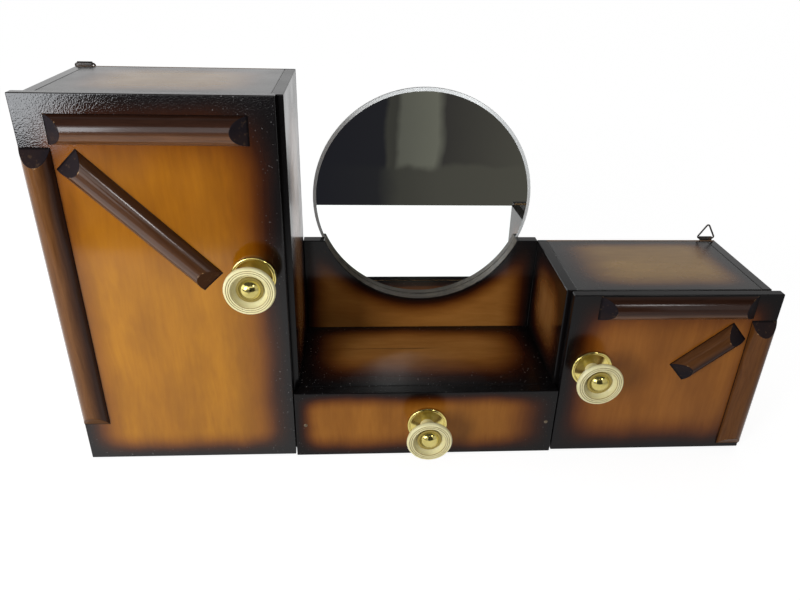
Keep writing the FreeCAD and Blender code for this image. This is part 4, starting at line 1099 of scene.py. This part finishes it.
def add_lamp(name, radiance):
    """A lamp of a plain brightness over a rectangle."""
    size, place, target, tint = LAMPS[name]
    turn = (Vector(target) - Vector(place)).to_track_quat("-Z", "Y").to_euler()
    bpy.ops.object.light_add(type="AREA", location=place, rotation=turn)
    lamp = bpy.context.object
    lamp.name = name
    lamp.data.color = tint
    lamp.data.shape = "RECTANGLE"
    lamp.data.size, lamp.data.size_y = size
    lamp.data.energy = radiance * math.pi * size[0] * size[1]
    return lamp


def seen_directly(wiring):
    """Rays that show the background itself: straight to the camera, and mirrored or through glass."""
    rays = wiring.node("ShaderNodeLightPath").outputs
    return rays["Is Camera Ray"], wiring.math("MAXIMUM", rays["Is Glossy Ray"], rays["Is Transmission Ray"])


def floor_finish():
    """White sheet that shows as white, dimmer in gloss away from the window, and keeps a faint shadow."""
    finish = Finish("white_sheet", "ShaderNodeAddShader")
    straight, mirrored = seen_directly(finish)
    cloth = finish.ramp(finish.noise("weave")[0], (0.0, grey(0.82)), (1.0, grey(0.88)))
    cloth = finish.blend(finish.math("ADD", straight, mirrored), cloth, SHEET_SEEN)
    across = finish.axes()[X]
    near_window = finish.math("ADD", finish.span(across, *SHEET_RIGHT), finish.span(across, *SHEET_LEFT))
    strength = finish.math("ADD", finish.times(straight, SHEET_GLOW), finish.times(mirrored, near_window))
    plain = finish.node("ShaderNodeBsdfDiffuse", {"Color": cloth})
    glow = finish.node("ShaderNodeEmission", {"Color": WHITE, "Strength": strength})
    for socket, part in zip(finish.shader.inputs, (plain, glow)):
        finish.feed(socket, part.outputs[0])
    return finish.material


def card_finish(name, tones, below=None, foot=0.0):
    """Greys of an unlit room, set out from left to right, with others below a height."""
    finish = Finish(name, "ShaderNodeEmission")
    across, _, rise = finish.axes()
    cloud = finish.math("SUBTRACT", finish.noise("room")[0], 0.5)
    swayed = finish.math("MULTIPLY_ADD", cloud, SWAY_ACROSS, across)

    def spread(stops):
        first, last = stops[0][0], stops[-1][0]
        share = finish.node("ShaderNodeMapRange", {0: swayed, 1: first, 2: last}).outputs[0]
        return finish.ramp(share, *(((at - first) / (last - first), shade(tone)) for at, tone in stops))

    shown = spread(tones)
    if below:
        height = finish.math("MULTIPLY_ADD", cloud, SWAY_UP, rise)
        shown = finish.blend(finish.span(height, foot + FOOT_BLUR, foot - FOOT_BLUR), shown, spread(below))
    return finish.done(color=shown, strength=1.0)


def set_sky(context, light):
    """White to the camera, a bright room in front and a paler horizon behind for gloss, even for lighting."""
    world = bpy.data.worlds.new("studio")
    context.scene.world = world
    wiring = Wiring(node_tree(world))
    straight, mirrored = seen_directly(wiring)
    across, depth, rise = wiring.axes(wiring.node("ShaderNodeTexCoord").outputs["Generated"])
    behind = wiring.ramp(rise, *((height, grey(tone)) for height, tone in SKY_BEHIND))
    band = wiring.times(wiring.span(rise, *BAND_EDGE), wiring.span(across, *BAND_SIDE))
    ahead = wiring.node("ShaderNodeCombineColor", {0: band, 1: band, 2: band}).outputs[0]
    gloss = wiring.blend(wiring.span(depth, *HORIZON), behind, ahead)
    tone = wiring.blend(straight, wiring.blend(mirrored, grey(light), gloss), WHITE)
    sky = wiring.node("ShaderNodeBackground", {"Color": tone, "Strength": 1.0})
    wiring.node("ShaderNodeOutputWorld", {"Surface": sky.outputs[0]})


def add_camera(context):
    """The photograph's own viewpoint."""
    cos, sin = math.cos, math.sin
    level_reach = cos(CAMERA_PITCH)
    forward = Vector((sin(CAMERA_YAW) * level_reach, cos(CAMERA_YAW) * level_reach, -sin(CAMERA_PITCH)))
    right = Vector((cos(CAMERA_YAW), -sin(CAMERA_YAW), 0.0))
    down = forward.cross(right)
    rolled = cos(CAMERA_ROLL) * right + sin(CAMERA_ROLL) * down
    up = sin(CAMERA_ROLL) * right - cos(CAMERA_ROLL) * down
    bpy.ops.object.camera_add()
    camera = bpy.context.object
    turn = Matrix((rolled, up, -forward)).transposed().to_4x4()
    camera.matrix_world = Matrix.Translation(CAMERA_PLACE) @ turn
    camera.data.lens, camera.data.sensor_width = CAMERA_LENS, CAMERA_SENSOR
    camera.data.clip_start = CAMERA_NEAR
    context.scene.camera = camera


class CABINET_OT_stage(bpy.types.Operator):
    """Lay the white sheet, hang dark cards in front of it and set the lamps, sky and camera"""
    bl_idname = "cabinet.stage"
    bl_label = "Studio"

    def execute(self, context):
        studio = context.scene.cabinet_studio
        add_sheet("floor", (SHEET_SIZE, SHEET_SIZE), (0.0, 0.0, 0.0), (0.0, 0.0, 0.0), floor_finish())
        room = card_finish("room", ROOM, ROOM_BELOW, ROOM_FOOT)
        wall = card_finish("wall", WALL)
        upright = (math.pi / 2, 0.0, 0.0)
        cards = {"room_card": (0.60, 0.42, 0.14, studio.sheet_reach, room),
                 "wall_card": (0.31, 0.25, -0.31, studio.left_reach, wall),
                 "low_card": (0.80, 0.165, -0.80, studio.left_reach, wall)}
        for name, (width, height, middle, reach, finish) in cards.items():
            card = add_sheet(name, (width, height), (middle, -reach, height / 2), upright, finish)
            card.visible_camera = card.visible_diffuse = card.visible_shadow = False
        add_lamp("window", studio.window_radiance)
        add_lamp("small_lamp", studio.lamp_radiance)
        add_lamp("side_lamp", studio.side_radiance).visible_diffuse = False
        set_sky(context, studio.sky_light)
        add_camera(context)
        context.scene.view_settings.view_transform = "Standard"
        return {"FINISHED"}


OPERATORS = (CABINET_OT_case, CABINET_OT_doors, CABINET_OT_drawer, CABINET_OT_mouldings, CABINET_OT_knobs,
             CABINET_OT_mirror, CABINET_OT_hinges, CABINET_OT_hangers, CABINET_OT_screws, CABINET_OT_stage)
PROPERTIES = {"cabinet_colours": CabinetColours, "cabinet_sizes": CabinetSizes,
              "cabinet_studio": CabinetStudio}


class CABINET_PT_pieces(bpy.types.Panel):
    bl_label = "Mirrored cabinet"
    bl_space_type = "VIEW_3D"
    bl_region_type = "UI"
    bl_category = "Cabinet"

    def draw(self, context):
        for operator in OPERATORS:
            self.layout.operator(operator.bl_idname)


def register():
    for kind in (*PROPERTIES.values(), *OPERATORS, CABINET_PT_pieces):
        bpy.utils.register_class(kind)
    for name, kind in PROPERTIES.items():
        setattr(bpy.types.Scene, name, bpy.props.PointerProperty(type=kind))


def unregister():
    for name in PROPERTIES:
        delattr(bpy.types.Scene, name)
    for kind in (CABINET_PT_pieces, *reversed(OPERATORS), *PROPERTIES.values()):
        bpy.utils.unregister_class(kind)


def main():
    register()
    for operator in OPERATORS:
        family, name = operator.bl_idname.split(".")
        getattr(getattr(bpy.ops, family), name)()


if __name__ == "__main__":
    main()
